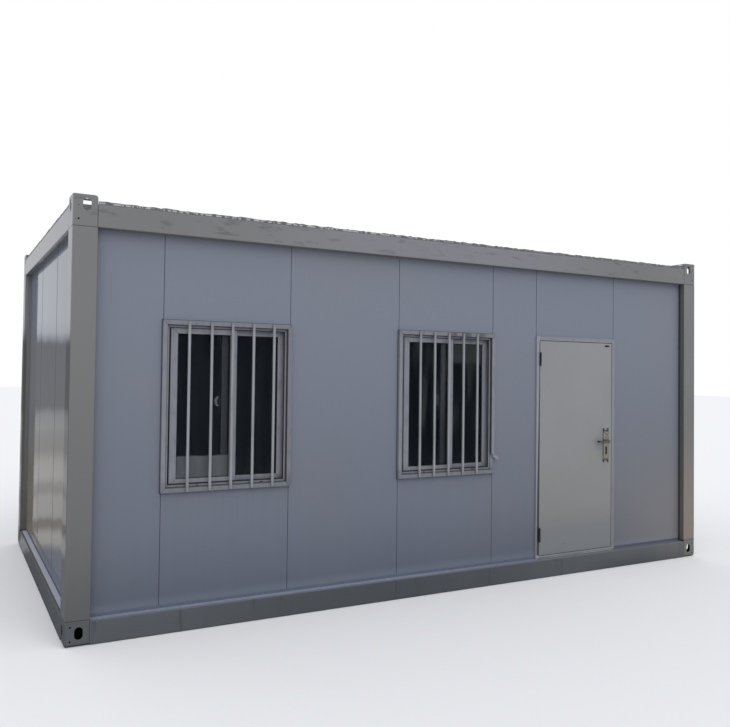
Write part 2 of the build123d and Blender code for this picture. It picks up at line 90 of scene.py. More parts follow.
# Painted reflection and shade bands on the left end, by height: pivot level, fall to the back, coat and
# colours.
level_band, level_fall = 1.78, 0.14
end_reflection_gloss = (
    (0.44, 0.10), (0.48, 0.12), (0.53, 0.55), (0.60, 0.52), (0.65, 0.12), (0.69, 0.12), (0.73, 0.46),
    (0.86, 0.44), (0.90, 0.28), (0.94, 0.30), (1.00, 0.50), (1.10, 0.46), (1.20, 0.24), (1.30, 0.26),
    (1.36, 0.32), (1.44, 0.28), (1.50, 0.04), (1.94, 0.03), (2.02, 0.56), (2.12, 0.66),
)
end_reflection_and_shade = (
    (0.30, (0.175, 0.190, 0.238)), (0.46, (0.178, 0.186, 0.218)), (0.54, (0.210, 0.184, 0.144)),
    (1.12, (0.212, 0.186, 0.146)), (1.34, (0.200, 0.192, 0.182)), (1.50, (0.184, 0.182, 0.184)),
    (1.92, (0.174, 0.176, 0.186)), (2.05, (0.168, 0.196, 0.256)),
)
end_frame_reflection_and_shade = (
    (0.30, (0.145, 0.145, 0.155)), (0.54, (0.146, 0.140, 0.124)), (1.34, (0.118, 0.113, 0.109)),
    (1.92, (0.108, 0.108, 0.112)), (2.05, (0.240, 0.250, 0.280)),
)


def math_node(operation, swapped=False):
    """An operator that adds the Math node of that operation."""
    def apply(wire, *others):
        values = (*others, wire) if swapped else (wire, *others)
        return wire.nodes.node("ShaderNodeMath", {"operation": operation}, dict(enumerate(values)))
    return apply


class Wire:
    """An output of a node, for use in expressions: each operator adds its Math node."""

    def __init__(self, nodes, socket):
        self.nodes = nodes
        self.socket = socket

    def output(self, name):
        """Another output of the same node."""
        return Wire(self.nodes, self.socket.node.outputs[name])

    __add__ = __radd__ = math_node("ADD")
    __sub__, __rsub__ = math_node("SUBTRACT"), math_node("SUBTRACT", swapped=True)
    __mul__ = __rmul__ = math_node("MULTIPLY")
    __abs__ = math_node("ABSOLUTE")
    __lt__, __gt__ = math_node("LESS_THAN"), math_node("GREATER_THAN")
    least, most = math_node("MINIMUM"), math_node("MAXIMUM")


class Nodes:
    """A node tree written as calls."""

    def __init__(self, tree):
        self.tree = tree

    def node(self, kind, settings=None, sockets=None, output=0):
        """One node: its settings first, then the values or wires of its sockets."""
        made = self.tree.nodes.new(kind)
        for name, value in (settings or {}).items():
            if name == "stops":
                self.fill_ramp(made.color_ramp, value)
            else:
                setattr(made, name, value)
        for name, value in (sockets or {}).items():
            socket = made.inputs[name]
            if isinstance(value, Wire):
                self.tree.links.new(value.socket, socket)
            else:
                socket.default_value = (*value, 1.0) if socket.type == "RGBA" else value
        return Wire(self, made.outputs[output])

    @staticmethod
    def fill_ramp(ramp, stops):
        """Sets a ramp to (position, colour) stops."""
        while len(ramp.elements) < len(stops):
            ramp.elements.new(1.0)
        for element, (position, colour) in zip(ramp.elements, stops):
            element.position = position
            element.color = (*colour, 1.0)


class Finish(Nodes):
    """A surface finish: constants on its Principled shader, and what varies it from place to place."""

    labels = {"metallic": "Metallic", "roughness": "Roughness", "specular": "Specular IOR Level",
              "coat_roughness": "Coat Roughness", "ior": "IOR"}

    def __init__(self, name, **constants):
        self.material = bpy.data.materials.new(name)
        self.material.use_nodes = True
        super().__init__(self.material.node_tree)
        self.shader = self.tree.nodes["Principled BSDF"]
        for label, value in constants.items():
            self.shader.inputs[self.labels[label]].default_value = value
        self.place = self.node("ShaderNodeTexCoord", output="Object")
        self.x = self.node("ShaderNodeSeparateXYZ", sockets={0: self.place})
        self.y = self.x.output("Y")
        self.z = self.x.output("Z")

    def noise(self, scale, stretch=(1, 1, 1), detail=3.0):
        """Cloudy noise round 0.5 with `scale` lumps a metre, closer together along the stretched axes."""
        spread = [scale * one for one in stretch]
        place = self.node("ShaderNodeMapping", sockets={"Vector": self.place, "Scale": spread})
        return self.node("ShaderNodeTexNoise", sockets={"Vector": place, "Scale": 1.0, "Detail": detail})

    def fade(self, value, start, end):
        """0 up to start, 1 past end, smooth between."""
        return self.node(
            "ShaderNodeMapRange", {"interpolation_type": "SMOOTHSTEP"},
            {"Value": value, "From Min": start, "From Max": end},
        )

    def patches(self, scale, start, end, stretch=(1, 1, 1), detail=3.0):
        """Patches of noise, 0 where it is under start and 1 where it is over end."""
        return self.fade(self.noise(scale, stretch, detail), start, end)

    def near(self, value, target, reach):
        """1 where value is at the target, 0 from `reach` away."""
        return self.fade(abs(value - target), reach, reach * 0.4)

    def coats(self, colour, *layers):
        """A colour under (colour, amount) layers, the lowest first."""
        for over, amount in layers:
            sockets = {0: amount, 6: colour, 7: over}
            colour = self.node("ShaderNodeMix", {"data_type": "RGBA"}, sockets, output=2)
        return colour

    def drive(self, label, wire):
        self.tree.links.new(wire.socket, self.shader.inputs[label])

    def surface(self, colour, roughness=None, height=None, depth=0.0):
        """The colour and the roughness of the surface, and its bump of that depth."""
        self.drive("Base Color", colour)
        if roughness:
            self.drive("Roughness", roughness)
        if height:
            self.drive("Normal", self.node("ShaderNodeBump", sockets={"Height": height, "Distance": depth}))

    def ground_shade_and_sand(self, colour, top_down_shade, foot_shade_depth, shade_colour=black, sandiness=0.6):
        """Painted shade darkening towards the ground, most below the knee; sand at the right-hand foot."""
        shade_down = self.fade(self.z, 2.4, 0.0) * (top_down_shade + 0.05 * self.noise(4.0, (4, 4, 0.2)))
        sandy = self.fade(self.x, half_length - 1.8, half_length - 0.1) * self.fade(self.z, 1.6, 0.45)
        sandy = sandy * self.fade(self.z, casting_top - 0.02, casting_top + 0.03)
        uneven = foot_shade_depth - 0.08 * self.patches(0.55, 0.25, 0.75, (1, 1, 0.3))
        foot_shade = self.fade(self.z, 0.8, 0.0) * uneven * (1 - 0.8 * sandy)
        return self.coats(colour, (shade_colour, shade_down), (shade_colour, foot_shade), (sand, sandiness * sandy))

    def reflection_bands(self, stops):
        """By level, falling to the back: a colour or amount for the left end's painted reflection and shade
        bands.
        """
        rise = (level_band - self.z) * (1.0 - level_fall * (self.y + 1.0))
        wander = 0.06 * (self.noise(2.6, (1, 2.2, 0.5), 4.0) - 0.5)
        level = (level_band - rise + wander) * (1 / cad_high.z)
        shades = []
        for height, shade in stops:
            shades.append((height / cad_high.z, (shade,) * 3 if isinstance(shade, float) else shade))
        return self.node("ShaderNodeValToRGB", {"stops": shades}, {"Fac": level})

    def coat_and_reflections(self, at_left_end):
        """A light coat over the whole surface, thickened in bands on the left end as painted reflections."""
        self.drive("Coat Weight", 0.10 + at_left_end * (self.reflection_bands(end_reflection_gloss) - 0.10))


def lay_on(finish, *names):
    """Gives CAD nodes a finish."""
    for name in names:
        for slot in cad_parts[name].material_slots:
            slot.material = finish.material


def seam_lines(paint):
    """The butt joints between castings, beams and posts."""
    long, wide, z = abs(paint.x), abs(paint.y), paint.z
    lines = paint.near(long, corner_x, seam_reach).most(paint.near(wide, corner_y, seam_reach))
    at_castings = (z > roof_beam_bottom - 0.001).most(z < casting_top + 0.001)
    across = paint.near(z, casting_top, seam_across_reach)
    across = across.most(paint.near(z, roof_beam_bottom, seam_across_reach))
    return (lines * at_castings).most(across * (long > corner_x - 0.001) * (wide > corner_y - 0.001))


def frame_coat(paint, chip_size):
    """The frame's paint: dust, seam dirt, small chips down to the primer, painted shade, highlight and
    reflections.
    """
    x, z, fade = paint.x, paint.z, paint.fade
    long, wide = abs(x), abs(paint.y)
    clouds = paint.noise(1.3, detail=4.0)
    low = fade(z, floor_beam_top - 0.001, floor_beam_top - 0.004)
    high = fade(z, roof_beam_bottom, roof_beam_bottom + 0.01)
    foot_shade = fade(x, 1.2, 2.2) * fade(z, floor_beam_top - 0.01, 0.0)
    drips = paint.patches(11.0, 0.62, 0.72, (1, 1, 0.12), 4.0)
    muddy = 0.22 * fade(x, half_length - 0.90, half_length - 0.25)
    muddy = muddy + 0.40 * fade(x, corner_x - 0.004, corner_x)
    off_face = fade(wide, half_width - 0.001, half_width - 0.003)
    ledge = paint.near(z, floor_beam_top, 0.0015) * off_face * fade(long, corner_x, corner_x - 0.004)
    inner_side = paint.near(long, corner_x, 0.004) * off_face * fade(z, casting_top, casting_top + 0.004)
    inner_side = inner_side * fade(z, roof_beam_bottom, roof_beam_bottom - 0.004)
    at_panel = fade(half_width - wide, wall_recess - 0.026, wall_recess - 0.014)
    scuffs = paint.patches(9.0, 0.56, 0.72, (0.7, 0.7, 3.0), 5.0)
    left_end = fade(x, -half_length + 0.030, -half_length + 0.020) * off_face
    chips = paint.patches(chip_size, 0.755, 0.775, detail=2.0)
    colour = paint.coats(frame_grey, (frame_dust, 0.50 * fade(clouds, 0.45, 0.85)))
    colour = paint.coats(
        # Painted shade towards the ground, and sand at the right-hand foot.
        paint.ground_shade_and_sand(colour, 0.24, 0.28),
        # Painted shade on the floor beams and the feet of the castings: bluish, deepest in the middle of
        # their length.
        (beam_foot_shade, 0.16 * low),
        (beam_middle_shade, 0.28 * low * fade(abs(x + 0.5), 2.2, 0.6)),
        # Painted shade deepening towards the ground on the right part of the floor beams.
        (black, 0.28 * foot_shade),
        (black, 0.22 * low * drips),
        (dried_mud, muddy * fade(z, casting_top + 0.01, casting_top - 0.01)),
        # Painted highlight: the floor beams' top ledges lighter and bluer as lit from above, weaker at the
        # right end.
        (ledge_highlight, ledge * (0.06 + 0.18 * fade(x, 2.0, 1.9))),
        # Painted shade on the inner sides of the posts, deepest beside the panels.
        (recess_shade, inner_side * (0.44 + 0.44 * at_panel)),
        (roof_beam_pale, 0.8 * high * fade(long, 2.2, 0.6)),
        (black, 0.22 * scuffs * fade(z, roof_beam_bottom, roof_beam_bottom + 0.02)),
        # Painted reflection and shade bands on the left end.
        (paint.reflection_bands(end_frame_reflection_and_shade), 0.85 * left_end * fade(z, casting_top, casting_top + 0.02)),
        # Painted shade on the floor beam at the left end.
        (black, 0.18 * left_end * low),
        (bare_primer, 0.85 * chips),
        (seam_dirt, 0.85 * seam_lines(paint)),
    )
    paint.surface(colour, 0.55 + 0.2 * clouds, paint.noise(260.0, detail=2.0) + 2.0 * (1 - chips), 0.00012)
    # Painted reflections: the coat thickened in bands on the left end.
    paint.coat_and_reflections(left_end)
    return colour


frame_paint = Finish("frame_paint", specular=0.0, coat_roughness=0.18)
frame_coat(frame_paint, 38.0)
for side in ("front", "right", "back", "left"):
    lay_on(frame_paint, f"floor_beam_{side}", f"roof_beam_{side}")
for corner in ("front_left", "front_right", "back_left", "back_right"):
    lay_on(frame_paint, f"post_{corner}")

# ---- Corner castings ----
# Welded boxes of plate with an oval slot in each outer face. They carry the lifting hooks, so their paint
# is chipped more, a fine weld line runs round each front plate, and painted shade darkens the foot. Inside,
# they are painted near black as shade in the bottom castings and pale as light from the slots in the top
# ones.

plate_inset, weld_reach = 0.012, 0.0016
casting_wall = 0.006
hollow_shade = (0.008, 0.008, 0.008)
hollow_slot_light = (0.480, 0.482, 0.485)

casting = Finish("casting_paint", specular=0.0, coat_roughness=0.18)
colour = frame_coat(casting, 55.0)
from_side, from_front = half_length - abs(casting.x), half_width - abs(casting.y)
from_plate_edge = from_side.least(post_size - from_side).least(casting.z).least(casting_top - casting.z)
weld_line = casting.near(from_plate_edge, plate_inset, weld_reach)
weld_line = weld_line * casting.fade(casting.z, casting_top, casting_top - 0.004)
# Inside faces: painted shade, near black, in the bottom castings; painted light, pale, in the top ones.
hollow = casting.fade(from_side.least(from_front), casting_wall * 0.5, casting_wall)
hollow = hollow * casting.fade(casting.z, casting_wall * 0.5, casting_wall)
hollow = hollow * casting.fade(casting.z, cad_high.z - casting_wall * 0.5, cad_high.z - casting_wall)
inside_bottom = casting.fade(casting.z, casting_top - 0.001, casting_top - casting_wall)
hollow = hollow * inside_bottom.most(casting.z > 1.0)
top_inside = casting.fade(casting.z, roof_beam_bottom + 0.07, roof_beam_bottom + 0.10)
inside_colour = casting.coats(hollow_shade, (hollow_slot_light, top_inside))
colour = casting.coats(colour, (seam_dirt, 0.40 * weld_line), (inside_colour, 0.92 * hollow))
casting.drive("Base Color", colour)
lay_on(casting, "bottom_corner_castings", "top_corner_castings")

# ---- Floor ----
# Galvanised joists stand on the flanges of the long beams and carry a fibre-cement board. Its underside is
# bare cement; its top has a speckled vinyl covering, walked dull behind the door.

zinc = (0.40, 0.41, 0.42)
zinc_dull = (0.27, 0.28, 0.29)
vinyl = (0.225, 0.215, 0.200)
vinyl_fleck = (0.36, 0.35, 0.33)
cement = (0.30, 0.29, 0.27)
leaf_box = leaf_low, leaf_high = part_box("door_leaf")
doorway_x = (leaf_low.x + leaf_high.x) / 2

galvanised = Finish("galvanised_steel", metallic=0.75)
spots = {"Vector": galvanised.place, "Scale": 70.0}
cells = galvanised.node("ShaderNodeTexVoronoi", sockets=spots, output="Color")
spangle = galvanised.node("ShaderNodeSeparateColor", sockets={0: cells})
colour = galvanised.coats(zinc, (zinc_dull, spangle))
galvanised.surface(colour, 0.36 + 0.18 * spangle, galvanised.noise(180.0), 0.00015)
lay_on(galvanised, "floor_joists", "roof_purlins")

board = Finish("floor_covering", specular=0.4)
top_face = board.fade(board.z, floor_beam_top - 0.003, floor_beam_top - 0.001)
off_door = abs(board.x - doorway_x) * 0.9 + 0.7 * (board.y + half_width)
walked = board.fade(off_door + 0.5 * board.noise(2.2), 1.9, 0.9)
flecks = board.patches(420.0, 0.60, 0.66, detail=1.0)
covering = board.coats(vinyl, (vinyl_fleck, 0.7 * flecks), (frame_dust, 0.35 * walked))
underside = board.coats(cement, (black, 0.4 * board.noise(14.0, detail=5.0)))
colour = board.coats(underside, (covering, top_face))
board.surface(colour, 0.85 - top_face * (0.45 - 0.25 * walked), board.noise(120.0, detail=2.0), 0.0002)
lay_on(board, "floor_board")

# ---- Roof ----
# Purlins carry a trapezoidal steel sheet with a dull grey coil coat. It is fixed through its valleys into
# each purlin by hexagon-headed screws with washers. Flat flashings close it to the beams, black foam fills
# the ends of its ribs, and a ragged bead of weathered mastic runs along the outer edge of each beam.

purlin_width, purlin_count = 0.040, 11
sheet_steel = 0.0015
roof_grey = (0.315, 0.330, 0.345)
roof_dirt = (0.150, 0.145, 0.130)
screw_zinc = (0.33, 0.33, 0.34)
screw_rust = (0.16, 0.09, 0.05)
screw_radius, screw_height = 0.0055, 0.0050
washer_radius, washer_height = 0.0095, 0.0018
screws_across = 12
screw_row_inset = 0.10
screw_scatter, screw_seed = (0.003, 0.012, 0), 3
end_flashing_middle, side_flashing_middle = 0.080, 0.050
roof_rib_count = 30
roof_rib_foot, roof_rib_crown, roof_rib_height = 0.070, 0.040, 0.025
closer_depth, closer_gap, closer_setback = 0.030, 0.0006, 0.002
foam_grey = (0.030, 0.030, 0.031)

roof_coating = Finish("roof_coating", specular=0.35)
valley = roof_coating.fade(roof_coating.z, roof_beam_top + 0.009, roof_beam_top + 0.002)
settled = valley * 0.55 * roof_coating.patches(2.6, 0.35, 0.70, detail=5.0)
settled = settled + 0.18 * roof_coating.patches(7.0, 0.40, 0.75, (3.0, 0.35, 1.0))
colour = roof_coating.coats(roof_grey, (roof_dirt, settled))
roof_coating.surface(colour, 0.42 + 0.35 * settled, roof_coating.noise(3.5), 0.002)
lay_on(roof_coating, "roof_sheet", "roof_flashings")


class PieceRows(Nodes):
    """Geometry Nodes that repeat one piece: `count` of them from `first` a `step` apart, in `rows` a
    `row_step` apart, each turned to its facing and set off its place by up to `stagger`.
    """

    inputs = {
        "piece": "Object", "first": "Vector", "step": "Vector", "count": "Int", "row_step": "Vector",
        "rows": "Int", "facing": "Vector", "stagger": "Vector", "seed": "Int", "finish": "Material",
    }

    def __init__(self):
        super().__init__(bpy.data.node_groups.new("piece_rows", "GeometryNodeTree"))
        interface = self.tree.interface
        self.identifiers = {
            label: interface.new_socket(label, in_out="INPUT", socket_type=f"NodeSocket{kind}").identifier
            for label, kind in self.inputs.items()
        }
        interface.new_socket("Geometry", in_out="OUTPUT", socket_type="NodeSocketGeometry")
        entry = self.node("NodeGroupInput")
        given = {label: entry.output(label) for label in self.inputs}
        line = {"Count": given["count"], "Start Location": given["first"], "Offset": given["step"]}
        row = self.node("GeometryNodeMeshLine", sockets=line)
        line = {"Count": given["rows"], "Offset": given["row_step"]}
        starts = self.node("GeometryNodeMeshLine", sockets=line)
        rows = self.node("GeometryNodeInstanceOnPoints", sockets={"Points": starts, "Instance": row})
        points = self.node("GeometryNodeRealizeInstances", sockets={"Geometry": rows})
        reach = {0: given["stagger"], "Scale": -1.0}
        least = self.node("ShaderNodeVectorMath", {"operation": "SCALE"}, reach)
        spread = {"Min": least, "Max": given["stagger"], "Seed": given["seed"]}
        offset = self.node("FunctionNodeRandomValue", {"data_type": "FLOAT_VECTOR"}, spread)
        placed = self.node("GeometryNodeSetPosition", sockets={"Geometry": points, "Offset": offset})
        piece = self.node("GeometryNodeObjectInfo", sockets={"Object": given["piece"]}, output="Geometry")
        copies = {"Points": placed, "Instance": piece, "Rotation": given["facing"]}
        pieces = self.node("GeometryNodeInstanceOnPoints", sockets=copies)
        real = self.node("GeometryNodeRealizeInstances", sockets={"Geometry": pieces})
        coat = {"Geometry": real, "Material": given["finish"]}
        painted = self.node("GeometryNodeSetMaterial", sockets=coat)
        self.tree.links.new(painted.socket, self.tree.nodes.new("NodeGroupOutput").inputs[0])

    def mesh(self, **values):
        """The rows at those input values, as a mesh."""
        carrier = bpy.data.objects.new("rows", bpy.data.meshes.new("rows"))
        bpy.context.scene.collection.objects.link(carrier)
        modifier = carrier.modifiers.new("rows", "NODES")
        modifier.node_group = self.tree
        for label, value in values.items():
            modifier[self.identifiers[label]] = value
        graph = bpy.context.evaluated_depsgraph_get()
        mesh = bpy.data.meshes.new_from_object(carrier.evaluated_get(graph))
        carrier.modifiers.clear()
        bpy.data.objects.remove(carrier)
        return mesh


piece_rows = PieceRows()
quarter_turn = math.pi / 2
facings = {
    "up": (0.0, 0.0, 0.0), "front": (quarter_turn, 0.0, 0.0), "back": (-quarter_turn, 0.0, 0.0),
    "right": (0.0, quarter_turn, 0.0), "left": (0.0, -quarter_turn, 0.0),
}


def smooth_object(name, shape, smooth_below=40):
    """A bmesh or a mesh as an object of the scene, smooth except at edges sharper than that many degrees."""
    mesh = shape
    if isinstance(shape, bmesh.types.BMesh):
        bmesh.ops.remove_doubles(shape, verts=shape.verts, dist=1e-6)
        bmesh.ops.recalc_face_normals(shape, faces=shape.faces)
        mesh = bpy.data.meshes.new(name)
        shape.to_mesh(mesh)
        shape.free()
    mesh.shade_smooth()
    mesh.set_sharp_from_angle(angle=math.radians(smooth_below))
    made = bpy.data.objects.new(name, mesh)
    bpy.context.scene.collection.objects.link(made)
    return made


def add_piece(name, shape, finish, body="cabin"):
    """A finished piece of the object that rides on a body."""
    made = smooth_object(name, shape)
    if not made.data.materials:
        made.data.materials.append(finish.material)
    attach(made, body)


def repeat(shape, finish, first, step, count, facing="up", row_step=(0, 0, 0), rows=1, **scatter):
    """A bmesh piece repeated in rows as one mesh, set off by a `stagger` with its `seed` where given."""
    piece = smooth_object("repeated_piece", shape)
    mesh = piece_rows.mesh(
        piece=piece, first=first, step=step, count=count, row_step=row_step, rows=rows,
        facing=facings[facing], finish=finish.material, **scatter,
    )
    bpy.data.objects.remove(piece)
    return mesh


def skin(shape, loops, capped=True):
    """Faces from each loop of points to the next, and over both ends if it is capped."""
    loops = [[shape.verts.new(point) for point in loop] for loop in loops]
    for one, other in zip(loops, loops[1:]):
        for k in range(len(one)):
            shape.faces.new([one[k - 1], one[k], other[k], other[k - 1]])
    if capped:
        shape.faces.new(loops[0])
        shape.faces.new(loops[-1][::-1])
    return shape


def turned(shape, profile, sides, at=(0, 0, 0), facing="up"):
    """A turned part: (radius, height) points from its foot to its top, round an axis that faces that way."""
    place = Matrix.Translation(at) @ Euler(facings[facing]).to_matrix().to_4x4()
    angles = [2 * math.pi * k / sides for k in range(sides)]
    spokes = [Vector((math.cos(a), math.sin(a), 0)) for a in angles]
    rings = []
    for radius, height in profile:
        rings.append([place @ (spoke * radius + Vector((0, 0, height))) for spoke in spokes])
    return skin(shape, rings, capped=False)


def hexagon_screw():
    """A hexagon head on a washer, both chamfered."""
    wide, top = washer_radius, washer_height
    washer = [(0, 0), (wide, 0), (wide, top * 0.6), (wide * 0.8, top), (0, top)]
    wide, foot, top = screw_radius, washer_height * 0.5, washer_height + screw_height
    head = [(0, foot), (wide, foot), (wide, top * 0.93), (wide * 0.8, top), (0, top)]
    return turned(turned(bmesh.new(), washer, 16), head, 6)


screw_steel = Finish("screw_steel", metallic=0.8)
rusted = screw_steel.patches(40.0, 0.55, 0.70)
screw_steel.surface(screw_steel.coats(screw_zinc, (screw_rust, 0.6 * rusted)), 0.35 + 0.4 * rusted)

purlins_low, purlins_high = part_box("roof_purlins")
sheet_low, sheet_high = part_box("roof_sheet")
first_purlin = purlins_low.x + purlin_width / 2
purlin_span = purlins_high.x - purlins_low.x - purlin_width
purlin_step = (purlin_span / (purlin_count - 1), 0, 0)
screw_step = (0, (sheet_high.y - sheet_low.y - 2 * screw_row_inset) / (screws_across - 1), 0)
screw_seat = sheet_low.z + sheet_steel
first_screw = (first_purlin, sheet_low.y + screw_row_inset, screw_seat)
screws = repeat(
    hexagon_screw(), screw_steel, first_screw, screw_step, screws_across,
    row_step=purlin_step, rows=purlin_count, stagger=screw_scatter, seed=screw_seed,
)
add_piece("roof_screws", screws, screw_steel)
end_x, side_y = half_length - end_flashing_middle, half_width - side_flashing_middle
run_x, run_y = corner_x - screw_row_inset, corner_y - screw_row_inset
for side, start, end, count in (
    ("left", (-end_x, -run_y), (-end_x, run_y), screws_across),
    ("right", (end_x, -run_y), (end_x, run_y), screws_across),
    ("front", (-run_x, -side_y), (run_x, -side_y), 2 * screws_across),
    ("back", (-run_x, side_y), (run_x, side_y), 2 * screws_across),
):
    step = (Vector(end) - Vector(start)) / (count - 1)
    screws = repeat(hexagon_screw(), screw_steel, (*start, screw_seat), (*step, 0), count)
    add_piece(f"{side}_flashing_screws", screws, screw_steel)


def bar_of_section(section, length):
    """A bar along +Y with that (x, z) section, closed at both ends."""
    return skin(bmesh.new(), [[(x, y, z) for x, z in section] for y in (0, length)])


foam = Finish("closed_cell_foam", specular=0.2)
colour = foam.coats(foam_grey, (black, 0.5 * foam.noise(200.0)))
foam.surface(colour, 0.85 + 0.1 * foam.noise(60.0), foam.noise(500.0), 0.0004)
foot, crown = roof_rib_foot / 2 - closer_gap, roof_rib_crown / 2 - closer_gap
top = roof_rib_height - closer_gap
closer_section = [(-foot, closer_gap), (foot, closer_gap), (crown, top), (-crown, top)]
rib_spacing = purlin_span / roof_rib_count
first_closer = (first_purlin + rib_spacing / 2, sheet_low.y + closer_setback, sheet_low.z)
closer_row_step = (0, sheet_high.y - sheet_low.y - closer_depth - 2 * closer_setback, 0)
closers = repeat(
    bar_of_section(closer_section, closer_depth), foam, first_closer, (rib_spacing, 0, 0), roof_rib_count,
    row_step=closer_row_step, rows=2,
)
add_piece("roof_rib_closers", closers, foam)

bead_step = 0.0275
bead_setback, bead_width, bead_height, bead_root = 0.002, 0.010, 0.021, 0.004
bead_section = ((0.0, 0.0), (0.0, 0.65), (0.35, 1.0), (0.75, 0.8), (1.0, 0.0))
bead_end_gap = 0.004
bead_unevenness = (0.80, 1.15)
bead_seeds = {"front": 11, "back": 12, "left": 13, "right": 14}
mastic_pale, mastic_dirty = (0.45, 0.45, 0.46), (0.120, 0.120, 0.122)

mastic = Finish("weathered_mastic", specular=0.25)
bead_level = (mastic.z - roof_beam_top) * (1 / bead_height)
crest = mastic.fade(bead_level, 0.45, 0.70)
peeled = mastic.patches(46.0, 0.46, 0.56, (1, 1, 0.25), 2.0) * mastic.fade(bead_level, 0.10, 0.30)
peeled = peeled * (1 - 0.75 * crest) * (0.35 + 0.60 * mastic.fade(mastic.x, 0.6, -1.4))
colour = mastic.coats(mastic_dirty, (mastic_pale, peeled))
mastic.surface(colour, 0.6 + 0.3 * mastic.noise(40.0), mastic.noise(150.0), 0.0006)


def ragged_bead(shape, start, end, inwards, seed):
    """A hand-run bead between two (x, y) points on the beams, with an uneven crest."""
    draw = random.Random(seed)
    start, end = (Vector((*point, roof_beam_top - bead_root)) for point in (start, end))
    count = round((end - start).length / bead_step)
    loops = []
    for k in range(count + 1):
        foot = start.lerp(end, k / count)
        across = Vector(inwards) * bead_width
        up = Vector((0, 0, bead_root + bead_height * draw.uniform(*bead_unevenness)))
        loops.append([foot + across * from_edge + up * level for from_edge, level in bead_section])
    skin(shape, loops)


beads = bmesh.new()
bead_x, bead_y = half_length - bead_setback, half_width - bead_setback
run_x, run_y = corner_x - bead_end_gap, corner_y - bead_end_gap
ragged_bead(beads, (-run_x, -bead_y), (run_x, -bead_y), (0, 1, 0), bead_seeds["front"])
ragged_bead(beads, (-run_x, bead_y), (run_x, bead_y), (0, -1, 0), bead_seeds["back"])
ragged_bead(beads, (-bead_x, -run_y), (-bead_x, run_y), (1, 0, 0), bead_seeds["left"])
ragged_bead(beads, (bead_x, -run_y), (bead_x, run_y), (-1, 0, 0), bead_seeds["right"])
add_piece("roof_edge_mastic", beads, mastic)

# ---- Ceiling ----
# A white-coated lining sheet under the roof, stiffened by shallow pressed ribs that run from front to back.

lining = (0.68, 0.68, 0.66)
lining_dust = (0.50, 0.49, 0.46)
rib_pitch = 0.20
rib_foot, rib_crown, rib_drop = 0.016, 0.008, 0.005
rib_end_gap = 0.16

lining_white = Finish("lining_white", specular=0.35, roughness=0.45)
smudges = lining_white.patches(1.6, 0.50, 0.85, detail=4.0)
colour = lining_white.coats(lining, (lining_dust, 0.5 * smudges))
lining_white.surface(colour, height=lining_white.noise(140.0), depth=0.0001)
lay_on(lining_white, "ceiling")

ceiling_low, ceiling_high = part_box("ceiling")
rib_count = round((ceiling_high.x - ceiling_low.x - 2 * rib_end_gap) / rib_pitch)
first_rib = (-(rib_count - 1) * rib_pitch / 2, ceiling_low.y + rib_end_gap, ceiling_low.z)
rib_length = ceiling_high.y - ceiling_low.y - 2 * rib_end_gap
ceiling_rib = [(-rib_foot, 0), (rib_foot, 0), (rib_crown, -rib_drop), (-rib_crown, -rib_drop)]
ribs = repeat(bar_of_section(ceiling_rib, rib_length), lining_white, first_rib, (rib_pitch, 0, 0), rib_count)
add_piece("ceiling_ribs", ribs, lining_white)

# ---- Wall panels ----
# Sandwich panels of two thin coil-coated steel skins on insulation, set back in the frame. Outside they are
# a smooth bluish grey with a soft gloss, inside they are white. Dirt lies in the joint grooves, and rain
# leaves faint streaks under the window sills. Painted shade darkens them towards the ground, and a band of
# painted reflection lies above the base trim.

panel_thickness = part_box("right_end_wall")[1].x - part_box("right_end_wall")[0].x
panel_grey = (0.208, 0.228, 0.276)
panel_warm = (0.226, 0.228, 0.244)
panel_shade = (0.020, 0.030, 0.050)
foot_reflection = (0.240, 0.270, 0.345)
groove_dark = (0.050, 0.054, 0.062)
trim_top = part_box("wall_base_trim")[1].z
windows = {side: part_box(f"{side}_window_frame") for side in ("left", "right")}
window_low, window_high = windows["left"]
window_width = window_high.x - window_low.x
windows_middle = (window_low.x + windows["right"][1].x) / 2
windows_apart = (windows["right"][0].x - window_low.x) / 2
left_end_low, left_end_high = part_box("left_end_wall")
end_panel_width = (left_end_high.y - left_end_low.y) / 3
end_joint_dirt = 0.012

panel = Finish("wall_panel", specular=0.0, coat_roughness=0.04)
skin_x, skin_y = half_length - wall_recess, half_width - wall_recess
skin_depth = (skin_x - abs(panel.x)).least(skin_y - abs(panel.y))
broad = panel.noise(0.7, detail=2.0)
above_trim = panel.fade(panel.z, trim_top + 0.075, trim_top + 0.005)
across_window = abs(abs(panel.x - windows_middle) - windows_apart)
below_sill = panel.fade(across_window, window_width / 2 + 0.03, window_width / 2 - 0.05)
below_sill = below_sill * panel.fade(panel.z, window_low.z - 0.55, window_low.z - 0.02)
below_sill = below_sill * panel.fade(window_low.z - panel.z, -0.01, 0.01)
drips = panel.patches(9.0, 0.42, 0.75, (4, 4, 0.15))
specks = panel.patches(85.0, 0.74, 0.78, detail=1.0)

